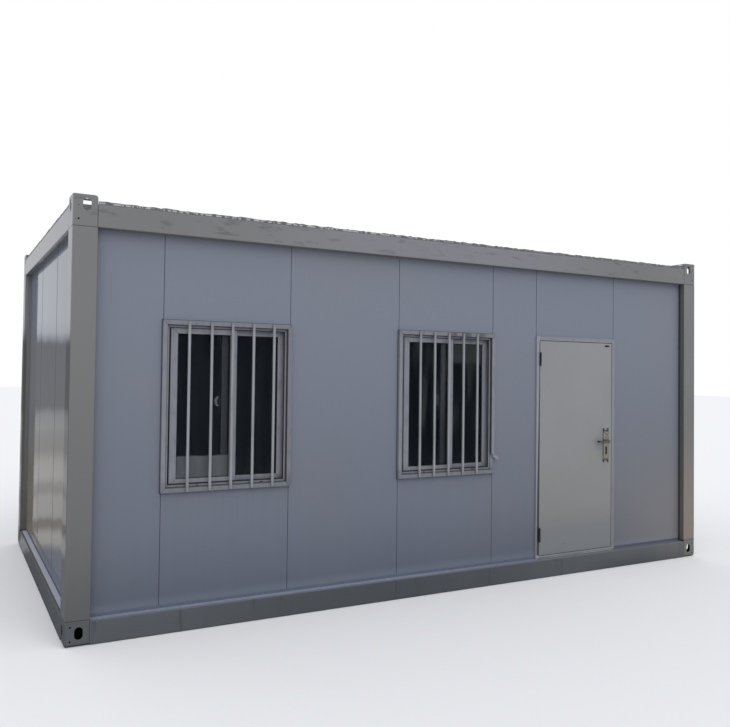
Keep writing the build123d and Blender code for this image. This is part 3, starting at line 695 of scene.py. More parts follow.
# On the left end, painted reflections and shade by height: gloss and colour in bands, bright and blue under
# the eaves, darker in the middle and warm in bands below. There the edge of each panel holds a line of dirt.
end_skin = panel.fade(abs(panel.x), skin_x - 0.012, skin_x - 0.004)
left_skin = end_skin * (panel.x < 0)
dirty_edge = end_skin * panel.near(abs(panel.y), end_panel_width / 2, end_joint_dirt)
groove = panel.fade(skin_depth, 0.0004, 0.0014) * panel.fade(skin_depth, 0.020, 0.015)
indoors = panel.fade(skin_depth, panel_thickness - 0.012, panel_thickness - 0.006)
colour = panel.coats(panel_grey, (panel_warm, 0.30 * panel.fade(broad, 0.40, 0.75)))
colour = panel.coats(
    # Painted shade towards the ground in the panels' bluish shade colour, and sand at the right-hand foot.
    panel.ground_shade_and_sand(colour, 0.29, 0.34, panel_shade, sandiness=0.32),
    # Painted reflection: a lighter, bluer band just above the base trim.
    (foot_reflection, 0.25 * above_trim),
    (black, 0.04 * below_sill * drips),
    (black, 0.12 * specks),
    # Painted reflection and shade bands on the left end.
    (panel.reflection_bands(end_reflection_and_shade), 0.85 * left_skin),
    (black, 0.55 * dirty_edge),
    (groove_dark, 0.92 * groove),
    (lining, indoors),
)
oil_canning = panel.noise(1.5, (1, 1, 0.6), 1.0) + 0.012 * panel.noise(320.0, detail=1.0)
panel.surface(colour, 0.50 + 0.12 * panel.fade(broad, 0.3, 0.8), oil_canning, 0.004)
# Painted reflections: the coat thickened in bands on the left end, not over the panel-edge dirt.
panel.coat_and_reflections(left_skin * (1 - dirty_edge))
for part in ("left_strip", "at_left_window", "middle_panel", "at_right_window", "narrow_panel", "over_door",
             "right_panel"):
    lay_on(panel, f"front_wall_{part}")
lay_on(panel, "back_wall", "left_end_wall", "right_end_wall")

# ---- Base trim ----
# A small folded angle that covers the feet of the panels, in the frame's paint, fixed by dome-headed blind
# rivets. Its ledge is lighter and bluer than the beam under it, with dust and a painted highlight that fade
# to the right and are brightest on the left end's ledge. Painted shade darkens the trim at the left end and
# right of the door.

trim_grey = (0.161, 0.183, 0.245)
trim_ledge_light_and_dust = (0.265, 0.290, 0.350)
trim_end_highlight = (0.510, 0.530, 0.600)
trim_shade = (0.080, 0.088, 0.105)
trim_steel = 0.002
rivet_pitch, rivet_from_end = 0.32, 0.11
rivet_radius, rivet_height = 0.0040, 0.0018
rivet_z = (floor_beam_top + trim_top) / 2 + 0.002

trim = Finish("trim_paint", specular=0.0, coat_roughness=0.2)
ledge_top = trim.fade(trim.z, floor_beam_top + 0.006, floor_beam_top + 0.001)
speckle = trim.patches(55.0, 0.35, 0.75, detail=4.0)
ledge_light_fade = trim.fade(trim.x, -0.4, 0.7)
off_doorway = trim.fade(trim.x, doorway_x, doorway_x + 0.6) * trim.fade(trim.y, 0.4, -1.2)
at_left_end = trim.fade(trim.x, -half_length + 0.080, -half_length + 0.065)
end_ledge_highlight = at_left_end * ledge_top
colour = trim.coats(
    trim_grey,
    (black, 0.30 - 0.12 * speckle),
    # Dust and a painted highlight on the ledge, fading to the right.
    (trim_ledge_light_and_dust, (0.75 + 0.2 * speckle) * ledge_top * (1 - 0.35 * ledge_light_fade)),
    # Painted shade right of the door and over the trim at the left end.
    (trim_shade, 0.55 * off_doorway),
    (trim_shade, 0.7 * at_left_end),
    # Painted highlight on the left end's ledge.
    (trim_end_highlight, 0.85 * end_ledge_highlight),
)
trim.surface(colour, 0.50 + 0.2 * speckle, speckle, 0.0001)
# Painted sheen: a thicker coat on the left end's ledge.
trim.drive("Coat Weight", 0.20 + 0.40 * end_ledge_highlight)
lay_on(trim, "wall_base_trim")


def dome_rivet():
    angles = [k * quarter_turn / 4 for k in range(4)]
    dome = [(rivet_radius * math.cos(a), rivet_height * math.sin(a)) for a in angles]
    return turned(bmesh.new(), [(0, 0), *dome, (0, rivet_height)], 12)


def rivet_row(name, start, end, side):
    """Rivets along a trim face between two (x, y) points, the same distance apart."""
    start, end = Vector((*start, rivet_z)), Vector((*end, rivet_z))
    count = max(2, round((end - start).length / rivet_pitch) + 1)
    rivets = repeat(dome_rivet(), trim, start, (end - start) / (count - 1), count, side)
    add_piece(name, rivets, trim)


trim_x, trim_y = skin_x + trim_steel, skin_y + trim_steel
run_x, run_y = corner_x - rivet_from_end, corner_y - rivet_from_end
door_frame_low, door_frame_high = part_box("door_frame")
left_stop, right_stop = door_frame_low.x - rivet_from_end, door_frame_high.x + rivet_from_end
rivet_row("front_trim_rivets_left", (-run_x, -trim_y), (left_stop, -trim_y), "front")
rivet_row("front_trim_rivets_right", (right_stop, -trim_y), (run_x, -trim_y), "front")
rivet_row("back_trim_rivets", (-run_x, trim_y), (run_x, trim_y), "back")
rivet_row("left_trim_rivets", (-trim_x, -run_y), (-trim_x, run_y), "left")
rivet_row("right_trim_rivets", (trim_x, -run_y), (trim_x, run_y), "right")

# ---- Window frames ----
# Pale grey extruded profile, mitred at the corners: a proud cover strip on the panel, then a thin lip in
# front of two tracks. Two drain caps sit in each bottom rail. The right window has lost a length of its
# right cover strip, whose bent end still stands off the jamb.

profile_grey = (0.214, 0.220, 0.252)
grime_and_step_shade = (0.045, 0.045, 0.046)
rubber_black, rubber_dusty = (0.012, 0.012, 0.013), (0.035, 0.034, 0.032)
cover_width, cover_step = 0.033, 0.020
frame_face = 0.050
lip_thickness = 0.004
mitre_reach = 0.0028
drain_width, drain_height, drain_depth = 0.022, 0.006, 0.0012
drain_above_foot, drain_edge, drain_root = 0.041, 0.0006, 0.001
drain_shares = (0.27, 0.77)
face_gap = 0.0001


def in_from_edges(finish, box):
    """How far a point is in from the sides, and from the foot and head, of a box seen from the front."""
    low, high = box
    middle, half = (low + high) / 2, (high - low) / 2
    return half.x - abs(finish.x - middle.x), half.z - abs(finish.z - middle.z)


def profile_marks(finish, box, face, steps):
    """The hairline mitres of a rectangle of profile, and painted shade along its (in from its edge, reach)
    steps.
    """
    in_x, in_z = in_from_edges(finish, box)
    from_edge = in_x.least(in_z)
    on_profile = finish.fade(from_edge, -0.001, 0.0) * finish.fade(from_edge, face, face - 0.001)
    lines = finish.near(in_x - in_z, 0, mitre_reach) * on_profile
    for inwards, reach in steps:
        lines = lines.most(finish.near(from_edge, inwards, reach))
    middle_y, half_y = (box[1].y + box[0].y) / 2, (box[1].y - box[0].y) / 2
    return lines * (abs(finish.y - middle_y) < half_y + 0.003)


def profile_coat(name, boxes, face, steps):
    """Pale profile under a light film of grime, with dark mitres and painted shade in its steps and corners.
    """
    finish = Finish(name, specular=0.35)
    fade = finish.fade
    film = finish.noise(26.0, (1, 1, 0.4), 5.0)
    patchy = finish.patches(13.0, 0.40, 0.56) * (finish.x > 0)
    patchy = patchy * fade(finish.x, windows["right"][1].x - 0.06, windows["right"][1].x - 0.16)
    # Painted shade along the top rails under the head, in deep patches on the right window.
    shaded_top_rail = fade(finish.z, window_high.z - 0.06, window_high.z - 0.02) * (0.12 + 0.48 * patchy)
    shaded = 0.17 * finish.near(finish.x, window_high.x - cover_width / 2, cover_width * 0.9)
    lines, *more = [profile_marks(finish, box, face, steps) for box in boxes]
    for other in more:
        lines = lines.most(other)
    colour = finish.coats(
        profile_grey,
        (grime_and_step_shade, 0.28 * fade(film, 0.45, 0.80)),
        (black, 0.22 * fade(finish.z, window_low.z + 0.12, window_low.z + 0.02)),
        (black, shaded_top_rail.most(shaded)),
        # Painted shade in the steps, and the dark mitres.
        (grime_and_step_shade, 0.85 * lines),
    )
    finish.surface(colour, 0.38 + 0.25 * film, finish.noise(300.0), 0.00005)
    return finish


# Steps of (in from the edge, reach): painted shade in the corners of the profile.
frame_steps = ((cover_width, 0.0050), (frame_face, 0.0022))
window_profile = profile_coat("window_profile", windows.values(), frame_face, frame_steps)
lay_on(window_profile, "left_window_frame", "right_window_frame")

rubber = Finish("rubber_and_pile", specular=0.25)
colour = rubber.coats(rubber_black, (rubber_dusty, rubber.noise(150.0)))
rubber.surface(colour, 0.75 + 0.2 * rubber.noise(60.0), rubber.noise(600.0, detail=1.0), 0.0003)


def ring(shape, outer, inner, y0, y1):
    """A rectangular frame between an outer and an inner (x0, x1, z0, z1), from y0 to y1."""
    loops = []
    for (x0, x1, z0, z1), y in ((outer, y0), (outer, y1), (inner, y1), (inner, y0), (outer, y0)):
        loops.append([(x0, y, z0), (x1, y, z0), (x1, y, z1), (x0, y, z1)])
    skin(shape, loops, capped=False)


def inset(box, margin, bottom=None):
    """The (x0, x1, z0, z1) of a box seen from the front, drawn in by a margin, at its foot by `bottom`."""
    low, high = box
    return low.x + margin, high.x - margin, low.z + (margin if bottom is None else bottom), high.z - margin


def arc(x, z, radius, start, end, steps):
    """Points on an arc between two angles in degrees."""
    angles = [math.radians(start + (end - start) * k / steps) for k in range(steps + 1)]
    return [(x + radius * math.cos(a), z + radius * math.sin(a)) for a in angles]


def rounded(x0, x1, z0, z1, radius, steps):
    """The outline of a rectangle with rounded corners."""
    outline = []
    for x, z, start in ((x1 - radius, z1 - radius, 0), (x0 + radius, z1 - radius, 90),
                        (x0 + radius, z0 + radius, 180), (x1 - radius, z0 + radius, 270)):
        outline += arc(x, z, radius, start, start + 90, steps)
    return outline


def obround(x, z, width, height, steps=8):
    """The outline of a slot with round ends, along its longer side."""
    radius = min(width, height) / 2
    reach = max(width, height) / 2 - radius
    if width > height:
        return arc(x + reach, z, radius, -90, 90, steps) + arc(x - reach, z, radius, 90, 270, steps)
    return arc(x, z + reach, radius, 0, 180, steps) + arc(x, z - reach, radius, 180, 360, steps)


def slab(shape, outline, y0, y1, edge=0.0):
    """A plate of that (x, z) outline between two depths, its near rim bevelled by `edge`."""
    outline = [Vector(point) for point in outline]
    middle = sum(outline, Vector((0, 0))) / len(outline)
    drawn = [point + (middle - point).normalized() * min(edge, (middle - point).length) for point in outline]
    layers = [(drawn, y0), (outline, y1)]
    if edge:
        layers.insert(1, (outline, y0 + math.copysign(edge, y1 - y0)))
    skin(shape, [[(x, y, z) for x, z in points] for points, y in layers])


sealant_width, sealant_depth, sealant_gap = 0.0045, 0.0030, 0.0002
sealant_grey = (0.085, 0.090, 0.098)

sealant = Finish("sealant", specular=0.3)
colour = sealant.coats(sealant_grey, (black, 0.6 * sealant.noise(60.0, detail=4.0)))
sealant.surface(colour, 0.6 + 0.3 * sealant.noise(30.0), sealant.noise(120.0), 0.0006)
seals, drains = bmesh.new(), bmesh.new()
for box in windows.values():
    outer, inner = inset(box, -sealant_width), inset(box, -sealant_gap)
    ring(seals, outer, inner, wall_face - sealant_depth, wall_face - face_gap)
    low, high = box
    for share in drain_shares:
        x = low.x + share * window_width
        cap = obround(x, low.z + drain_above_foot, drain_width, drain_height)
        rail_face = low.y + cover_step
        slab(drains, cap, rail_face - drain_depth, rail_face + drain_root, drain_edge)
add_piece("window_sealant", seals, sealant)
add_piece("window_drain_caps", drains, rubber)

# The torn strip's end leans out in stations of (in from the jamb's edge, past the cover face, above the
# sill, half width).
tab_thickness = 0.0016
tab_lean = Vector((0.62, 0.0, 0.78))
tab_stations = (
    (0.0165, 0.0120, 0.1655, 0.0155), (0.0060, 0.0065, 0.1540, 0.0150), (-0.0085, -0.0010, 0.1410, 0.0140),
    (-0.0220, -0.0110, 0.1290, 0.0120), (-0.0300, -0.0160, 0.1205, 0.0085),
)
loops = []
back = Vector((0, tab_thickness, 0))
for from_edge, depth, above_sill, half in tab_stations:
    centre = Vector((windows["right"][1].x - from_edge, window_low.y + depth, window_low.z + above_sill))
    across = tab_lean * half
    loops.append([centre - across, centre + across, centre + across + back, centre - across + back])
add_piece("torn_cover_strip_end", skin(bmesh.new(), loops), window_profile)

# ---- Sashes, their seals and latches ----
# Two sliding sashes a window, mitred from the same profile. Black brush pile closes the gap to the lip and
# shows past it, widest at the sill, standing in for the shade in the track. A black gasket holds each pane,
# and a crescent latch sits on the room side of the meeting stile.

sash_width = 0.490
sash_face = 0.052
sash_thickness, sash_spacing = 0.024, 0.030
sash_steps = ((0.0, 0.0035), (sash_face, 0.0030))
pile_reach, pile_reach_bottom, pile_root = 0.004, 0.009, 0.004
pile_gap, pile_depth = 0.0002, 0.0015
gasket_width, gasket_depth = 0.0035, 0.0026
glass_thickness = 0.006
latch_height, latch_width, latch_depth = 0.095, 0.020, 0.016
latch_middle, latch_from_edge, latch_gap = 1.555, 0.012, 0.0005
crescent_width, crescent_drop = 0.012, 0.004
thumb_length, thumb_width, thumb_reach, thumb_edge = 0.030, 0.010, 0.006, 0.002
latch_new, latch_worn = (0.72, 0.73, 0.75), (0.45, 0.45, 0.45)
sashes = {}
for side in windows:
    low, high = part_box(f"{side}_window_sashes")
    front_sash = (low, Vector((low.x + sash_width, low.y + sash_thickness, high.z)))
    rear_sash = (Vector((high.x - sash_width, low.y + sash_spacing, low.z)), high)
    sashes[side] = (front_sash, rear_sash)

all_sashes = [sash for pair in sashes.values() for sash in pair]
sash_profile = profile_coat("sash_profile", all_sashes, sash_face, sash_steps)
lay_on(sash_profile, "left_window_sashes", "right_window_sashes")

pile, gaskets = bmesh.new(), bmesh.new()
# The pile reaches past the lip, widest at the sill, to stand in for the shade in the track.
for box in windows.values():
    opening = inset(box, frame_face + pile_reach, frame_face + pile_reach_bottom)
    pile_face = box[0].y + cover_step + lip_thickness + pile_gap
    ring(pile, inset(box, frame_face - pile_root), opening, pile_face, pile_face + pile_depth)
for sash in all_sashes:
    outer, inner = inset(sash, sash_face), inset(sash, sash_face + gasket_width)
    pane_face = (sash[0].y + sash[1].y) / 2 - glass_thickness / 2
    room_face = pane_face + glass_thickness
    ring(gaskets, outer, inner, pane_face - gasket_depth, pane_face - face_gap)
    ring(gaskets, outer, inner, room_face + face_gap, room_face + gasket_depth)
add_piece("window_pile_seals", pile, rubber)
add_piece("glazing_gaskets", gaskets, rubber)


def crescent_latch(shape, x, y, z):
    """A latch body on the room face of a stile, its crescent towards the other sash, and a thumb lever."""
    half_w, half_h = latch_width / 2, latch_height / 2
    slab(shape, obround(x, z, latch_width, latch_height), y + latch_depth, y, 0.003)
    outside = arc(x - half_w, z - crescent_drop, half_h * 0.86, 110, 250, 14)
    inside = arc(x - half_w + crescent_width, z - crescent_drop, half_h * 0.72, 238, 122, 14)
    slab(shape, outside + inside, y + latch_depth * 0.75, y + latch_depth * 0.25)
    thumb = obround(x + half_w + thumb_reach, z + half_h * 0.62, thumb_length, thumb_width)
    slab(shape, thumb, y + latch_depth + thumb_reach, y + latch_depth * 0.4, thumb_edge)


latch_white = Finish("latch_plastic", specular=0.45, roughness=0.35)
latch_white.surface(latch_white.coats(latch_new, (latch_worn, 0.5 * latch_white.noise(90.0))))
latches = bmesh.new()
for front_sash, rear_sash in sashes.values():
    crescent_latch(latches, rear_sash[0].x + latch_from_edge, rear_sash[1].y + latch_gap, latch_middle)
add_piece("window_latches", latches, latch_white)

# ---- Glass ----
# Dark, reflective float glass with a thin film of dust that thickens towards the bottom bead.

pane_dark = (0.0040, 0.0085, 0.0150)
pane_streaks = (0.080, 0.090, 0.088)
pane_dust = (0.125, 0.136, 0.138)
pane_dust_top = 0.247

glass = Finish("window_glass", specular=0.07, ior=1.45)
in_right_window = glass.x > (window_high.x + windows["right"][0].x) / 2
streaks = glass.patches(5.5, 0.46, 0.72, (2.4, 1, 0.32), 5.0)
streaks = streaks * (0.12 + 0.75 * in_right_window) * glass.fade(glass.z, 1.22, 1.45)
in_last_pane = glass.x > sashes["right"][1][0].x + 0.11
patch = glass.fade(glass.z + 0.04 * glass.noise(11.0), 1.86, 1.90) * in_last_pane
streaks = streaks.most(patch * (0.75 + 0.35 * glass.noise(8.0)))
first_pane_high = sashes["left"][0][1]
in_first_pane = (glass.x < first_pane_high.x) * (glass.y < first_pane_high.y)
dust_edge = window_low.z + pane_dust_top - 0.012 * glass.noise(7.0, detail=4.0)
settled = glass.fade(glass.z - dust_edge, 0.006, -0.006) * in_first_pane
settled = settled * (0.62 + 0.5 * glass.noise(4.0, (3, 1, 0.4), 3.0))
low_film = glass.fade(glass.z, window_low.z + 0.34, window_low.z + 0.09)
low_film = low_film * glass.patches(14.0, 0.38, 0.70, (2, 1, 0.5))
colour = glass.coats(pane_dark, (pane_streaks, streaks), (pane_dust, settled.most(0.14 * low_film)))
glass.surface(colour, 0.04 + 0.3 * streaks)
glass.drive("Alpha", 0.34 + 0.52 * settled + 0.10 * low_film)
lay_on(glass, "window_glass")

# ---- Security bars ----
# Five flat steel tubes a window, welded shut at the ends and fixed over the cover strips from head to sill.
# They were set by hand, so their spacing wanders by a few millimetres.

bar_width, bar_depth, bar_corner = 0.0190, 0.0130, 0.0028
bar_count = 5
bar_end_inset = 0.004
bar_rows = {"left": (0.186, 0.1598), "right": (0.196, 0.1455)}
bar_wander = (0.0025, 0, 0.0015)
bar_grey = (0.275, 0.290, 0.305)

bar = Finish("bar_paint", specular=0.4)
handled = bar.noise(30.0, (1, 1, 0.12), 4.0)
at_ends = bar.fade(abs(bar.z - (window_low.z + window_high.z) / 2), 0.50, 0.585)
colour = bar.coats(bar_grey, (grime_and_step_shade, 0.28 * bar.fade(handled, 0.45, 0.80)), (black, 0.22 * at_ends))
bar.surface(colour, 0.36 + 0.25 * handled, bar.noise(240.0), 0.00008)
bar_section = rounded(-bar_width / 2, bar_width / 2, -bar_depth / 2, bar_depth / 2, bar_corner, 4)
for seed, (side, (from_edge, pitch)) in enumerate(bar_rows.items()):
    low, high = windows[side]
    length = high.z - low.z - 2 * bar_end_inset
    upright = skin(bmesh.new(), [[(x, y, z) for x, y in bar_section] for z in (0, length)])
    start = (low.x + from_edge, low.y - bar_depth / 2, low.z + bar_end_inset)
    bars = repeat(upright, bar, start, (pitch, 0, 0), bar_count, stagger=bar_wander, seed=seed + 5)
    add_piece(f"{side}_window_bars", bars, bar)

# ---- Door frame ----
# A folded steel frame in a paler, bluer grey than the leaf, lapped over the panels. Its sill is worn to
# bare metal where people step, and a black seal runs round the stop behind the leaf. Painted shade fills
# the gap round the leaf and runs as a dark line down its hinge side, beside a painted highlight on the jamb.

door_frame_grey = (0.225, 0.226, 0.250)
jamb_edge_highlight = (0.360, 0.360, 0.380)
hinge_gap_shade = (0.014, 0.014, 0.015)
hinge_gap_shade_width, hinge_gap_shade_spread = 0.009, 0.019
gap_shade = (0.016, 0.015, 0.015)
sill_metal = (0.30, 0.30, 0.30)
sill_washed = (0.272, 0.287, 0.308)
seal_outside, seal_inside, seal_foot = 0.003, 0.011, 0.004
seal_gap, seal_depth = 0.0006, 0.0041

jamb = Finish("door_frame_paint", specular=0.4)
tread = jamb.fade(jamb.z, floor_beam_top + 0.032, floor_beam_top + 0.022)
scraped = tread * jamb.patches(24.0, 0.42, 0.60, (0.4, 3, 3), 4.0)
sill_lip = jamb.near(jamb.z, floor_beam_top + 0.0100, 0.0036)
in_x, in_z = in_from_edges(jamb, leaf_box)
beside_leaf = jamb.fade(in_x.least(in_z), -0.0075, -0.0060)
behind_face = jamb.fade(jamb.y, leaf_low.y + 0.0020, leaf_low.y + 0.0060)
# Painted shadow line on the frame's face along the leaf's hinge side, widening towards the foot.
from_leaf = leaf_low.x - jamb.x - hinge_gap_shade_spread * jamb.fade(jamb.z, 1.9, 0.3)
hinge_side = jamb.fade(from_leaf, hinge_gap_shade_width + 0.002, hinge_gap_shade_width)
hinge_side = hinge_side * (jamb.x < doorway_x) * jamb.fade(in_z, 0.0, 0.01)
colour = jamb.coats(
    door_frame_grey,
    (grime_and_step_shade, 0.22 * jamb.patches(18.0, 0.45, 0.8, (1, 1, 0.3), 4.0)),
    # Painted shade, darker towards the foot.
    (black, 0.22 * jamb.fade(jamb.z, 1.6, 0.1)),
    (sill_metal, 0.6 * scraped),
    (sill_washed, 0.8 * tread * (1 - sill_lip)),
    # Painted shade on the frame's faces in the gap behind the leaf.
    (gap_shade, 0.9 * beside_leaf * behind_face),
    # Painted highlight on the jamb's edge beside the leaf's hinge side.
    (jamb_edge_highlight, 0.30 * jamb.fade(jamb.x, leaf_low.x, leaf_low.x - 0.006)),
    # Painted shadow along the hinge side.
    (hinge_gap_shade, 0.9 * hinge_side),
)
jamb.surface(colour, 0.45 - 0.12 * scraped, jamb.noise(250.0), 0.00008)
jamb.drive("Metallic", 0.7 * scraped)
lay_on(jamb, "door_frame")

seal = bmesh.new()
outer, inner = inset(leaf_box, -seal_outside), inset(leaf_box, seal_inside, seal_foot)
ring(seal, outer, inner, leaf_high.y + seal_gap, leaf_high.y + seal_gap + seal_depth)
add_piece("door_seal", seal, rubber)

# ---- Door leaf ----
# A flush steel leaf in warm light grey. It is cleaner than the walls, with hand marks round the lever and
# cloudy dust. Painted shade darkens it towards the foot, and a bluish painted reflection lies along the
# foot.
# A small bare plate is riveted in its top corner on the lock side.

leaf_grey = (0.252, 0.258, 0.266)
leaf_dust_and_shade = (0.196, 0.188, 0.178)
leaf_foot_reflection = (0.152, 0.166, 0.182)
plate_dark, plate_scuffed = (0.010, 0.010, 0.011), (0.022, 0.022, 0.024)
plates_low, plates_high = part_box("lock_plates")
lock_x = (plates_low.x + plates_high.x) / 2
lever_z = sum(corner.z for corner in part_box("door_levers")) / 2
small_plate_width, small_plate_height = 0.055, 0.016
small_plate_thickness, small_plate_gap = 0.0012, 0.00005
small_plate_corner, small_plate_edge = 0.002, 0.0004
small_plate_from_edge, small_plate_from_top = 0.0315, 0.017
plate_rivet_shares = (0.09, 0.91)
plate_rivet = [(0, -0.0005), (0.0018, -0.0005), (0.0018, 0.0002), (0.001, 0.0008), (0, 0.0009)]

leaf = Finish("door_paint", specular=0.4)
clouds = leaf.noise(1.8, detail=3.0)
reach_x, reach_z = abs(leaf.x - (lock_x - 0.06)), abs(leaf.z - lever_z) * 0.7
touched = leaf.fade(reach_x + reach_z + 0.08 * leaf.noise(22.0), 0.20, 0.06)
kicks = leaf.patches(16.0, 0.64, 0.72, (0.35, 1, 2.2), 4.0) * leaf.fade(leaf.z, 0.55, 0.25)
in_x, in_z = in_from_edges(leaf, leaf_box)
edge_face = leaf.fade(in_x.least(in_z), 0.0009, 0.0004)
edge_face = edge_face * leaf.fade(leaf.y, leaf_low.y + 0.002, leaf_low.y + 0.005)
colour = leaf.coats(
    leaf_grey,
    (leaf_dust_and_shade, 0.22 * leaf.fade(clouds, 0.35, 0.80)),
    # Painted shade, darker towards the foot.
    (leaf_dust_and_shade, 0.75 * leaf.fade(leaf.z, 1.6, 0.15)),
    # Painted reflection, bluish, along the foot.
    (leaf_foot_reflection, 0.65 * leaf.fade(leaf.z, 0.60, 0.34)),
    (black, 0.12 * touched),
    (black, 0.22 * kicks),
    # Painted shade on the leaf's edge faces, in the gap.
    (gap_shade, 0.85 * edge_face),
)
dents = leaf.noise(2.0, detail=1.0) + 0.02 * leaf.noise(300.0, detail=1.0)
leaf.surface(colour, 0.38 + 0.16 * clouds, dents, 0.003)
lay_on(leaf, "door_leaf")

dark_plate = Finish("dark_plate", specular=0.06)
colour = dark_plate.coats(plate_dark, (plate_scuffed, dark_plate.noise(120.0)))
dark_plate.surface(colour, 0.40 + 0.2 * dark_plate.noise(60.0))
small_plate = bmesh.new()
x1, z1 = leaf_high.x - small_plate_from_edge, leaf_high.z - small_plate_from_top
x0, z0 = x1 - small_plate_width, z1 - small_plate_height
plate_face = leaf_low.y - small_plate_thickness
outline = rounded(x0, x1, z0, z1, small_plate_corner, 3)
slab(small_plate, outline, plate_face, leaf_low.y - small_plate_gap, small_plate_edge)
for share in plate_rivet_shares:
    rivet_place = (x0 + share * small_plate_width, plate_face, (z0 + z1) / 2)
    turned(small_plate, plate_rivet, 10, rivet_place, "front")
add_piece("small_bare_plate", small_plate, dark_plate, "door")

# ---- Hinges ----
# Lift-off hinges of dark turned steel, half welded to the frame and half to the leaf, greasy round the pin.

hinge_dark = (0.026, 0.026, 0.028)
hinge_worn = (0.12, 0.115, 0.11)
hinge_rust = (0.060, 0.036, 0.024)

hinge = Finish("hinge_steel", metallic=0.1, specular=0.12)
scratches = hinge.patches(90.0, 0.55, 0.75, (1, 1, 3.0), 4.0)
rusty = hinge.patches(35.0, 0.52, 0.70)
colour = hinge.coats(hinge_dark, (hinge_worn, 0.5 * scratches), (hinge_rust, 0.6 * rusty))
hinge.surface(colour, 0.40 + 0.2 * scratches, scratches, 0.0001)
lay_on(hinge, "hinge_halves_on_frame", "hinge_halves_on_door")

# ---- Lock plates ----
# Long satin-nickel plates on both faces of the leaf, their plating tarnished to a brassy olive above the
# lever, with painted dark reflections at the horned ends and a painted shadow of the lever across them.
# A lock barrel and a round snib fill the holes below the lever.

nickel = (0.265, 0.255, 0.225)
brassy = (0.120, 0.102, 0.050)
tarnish_reflection_and_shade = (0.022, 0.021, 0.023)
barrel_dark, barrel_ground = (0.012, 0.011, 0.010), (0.050, 0.046, 0.038)
barrel_width, barrel_length, barrel_z = 0.0174, 0.0434, 1.097
barrel_recess, barrel_root, barrel_edge = 0.0012, 0.002, 0.0008
snib_radius, snib_z = 0.0097, 1.053
snib_profile = [
    (0, -0.006), (snib_radius, -0.006), (snib_radius, -0.0010), (snib_radius - 0.0012, 0), (0, 0),
]
barrel_and_snib_z = 1.081
key_slot_width, key_slot_length, key_slot_rise = 0.0026, 0.0100, 0.010
snib_slot_width, snib_slot_height = 0.0120, 0.0024
slot_proud, slot_root = 0.00025, 0.0005
plate_thickness = 0.008
plate_screw_radius, plate_screw_inset = 0.0042, 0.046
plate_screw_head = [
    (0, -0.002), (plate_screw_radius, -0.002), (plate_screw_radius, 0.0003), (0.003, 0.0010), (0, 0.0012),
]

lock = Finish("lock_metal", metallic=0.85)
brushed = lock.noise(60.0, (6, 6, 0.4), 3.0)
to_lever = lock.near(lock.z, lever_z + 0.055, 0.075)
plate_middle_z, half_plate = (plates_low.z + plates_high.z) / 2, (plates_high.z - plates_low.z) / 2
at_horns = lock.fade(abs(lock.z - plate_middle_z), half_plate - 0.045, half_plate - 0.020)
from_middle = abs(lock.x - lock_x)
at_rim = lock.fade(from_middle, 0.0230, 0.0310) * lock.fade(from_middle, 0.036, 0.035)
greasy = lock.near(lock.x, lock_x, 0.0180) * lock.near(lock.z, barrel_and_snib_z, 0.046)
colour = lock.coats(
    nickel,
    (brassy, (0.35 + 0.65 * to_lever) * lock.patches(45.0, 0.32, 0.62, detail=4.0)),
    # Painted dark reflections at the horned ends, and darker rims.
    (tarnish_reflection_and_shade, (0.80 * at_horns).most(0.30 * at_rim)),
    (tarnish_reflection_and_shade, 0.88 * greasy),
    # Painted shadow of the lever across the plate.
    (tarnish_reflection_and_shade, 0.6 * lock.near(lock.z, lever_z, 0.030)),
)
lock.surface(colour, 0.26 + 0.22 * brushed, brushed, 0.00008)
lay_on(lock, "lock_plates")

barrels, slots, plate_screws = bmesh.new(), bmesh.new(), bmesh.new()
for face, outwards, facing in ((plates_low.y, -1, "front"), (plates_high.y, 1, "back")):
    near = face - outwards * barrel_recess
    deep = face - outwards * (plate_thickness + barrel_root)
    slab(barrels, obround(lock_x, barrel_z, barrel_width, barrel_length), near, deep, barrel_edge)
    turned(barrels, snib_profile, 28, (lock_x, near, snib_z), facing)
    key_slot = obround(lock_x, barrel_z + key_slot_rise, key_slot_width, key_slot_length)
    for slot in (key_slot, obround(lock_x, snib_z, snib_slot_width, snib_slot_height)):
        slab(slots, slot, near + outwards * slot_proud, near - outwards * slot_root)
    for screw_z in (plates_low.z + plate_screw_inset, plates_high.z - plate_screw_inset):
        turned(plate_screws, plate_screw_head, 18, (lock_x, face, screw_z), facing)
dark_barrel = Finish("dark_barrel", metallic=0.1, specular=0.06)
ground = dark_barrel.noise(120.0)
dark_barrel.surface(dark_barrel.coats(barrel_dark, (barrel_ground, 0.4 * ground)), 0.35 + 0.25 * ground)
add_piece("lock_barrels", barrels, dark_barrel, "door")
add_piece("key_slots", slots, rubber, "door")
add_piece("lock_plate_screws", plate_screws, lock, "door")

# ---- Levers ----
# A turned boss and a bar of cast metal on each face, with the plating rubbed bright on top and a dark,
# bluish tip that turns back to the door.

lever_nickel = (0.115, 0.108, 0.104)
lever_tip_dark = (0.075, 0.068, 0.080)

lever = Finish("lever_metal", metallic=0.85)
towards_tip = lever.fade(lever.x, lock_x - 0.045, lock_x - 0.110)
rubbed = lever.noise(70.0, (0.4, 3, 3), 3.0)
bare = lever.fade(rubbed, 0.45, 0.7)
colour = lever.coats(lever_nickel, (lever_tip_dark, 0.85 * towards_tip), (brassy, 0.35 * bare))
lever.surface(colour, 0.28 + 0.2 * rubbed, rubbed, 0.00006)
lay_on(lever, "door_levers")

# ---- Studio ----
# A pale floor under an even white surround, with one wide soft light from the upper left in front. The
# surround and the floor look white, while the light that they send to the cabin stays plain.

floor_reach = 60.0
floor_seen, floor_bounce = (0.80,) * 3, (0.50,) * 3
surround_light = (0.84, 0.862, 0.905)
white = (1, 1, 1)
lamp_strength = 1.10
lamp_width = math.radians(60)
lamp_direction = Vector((-0.10, -0.60, 0.79))

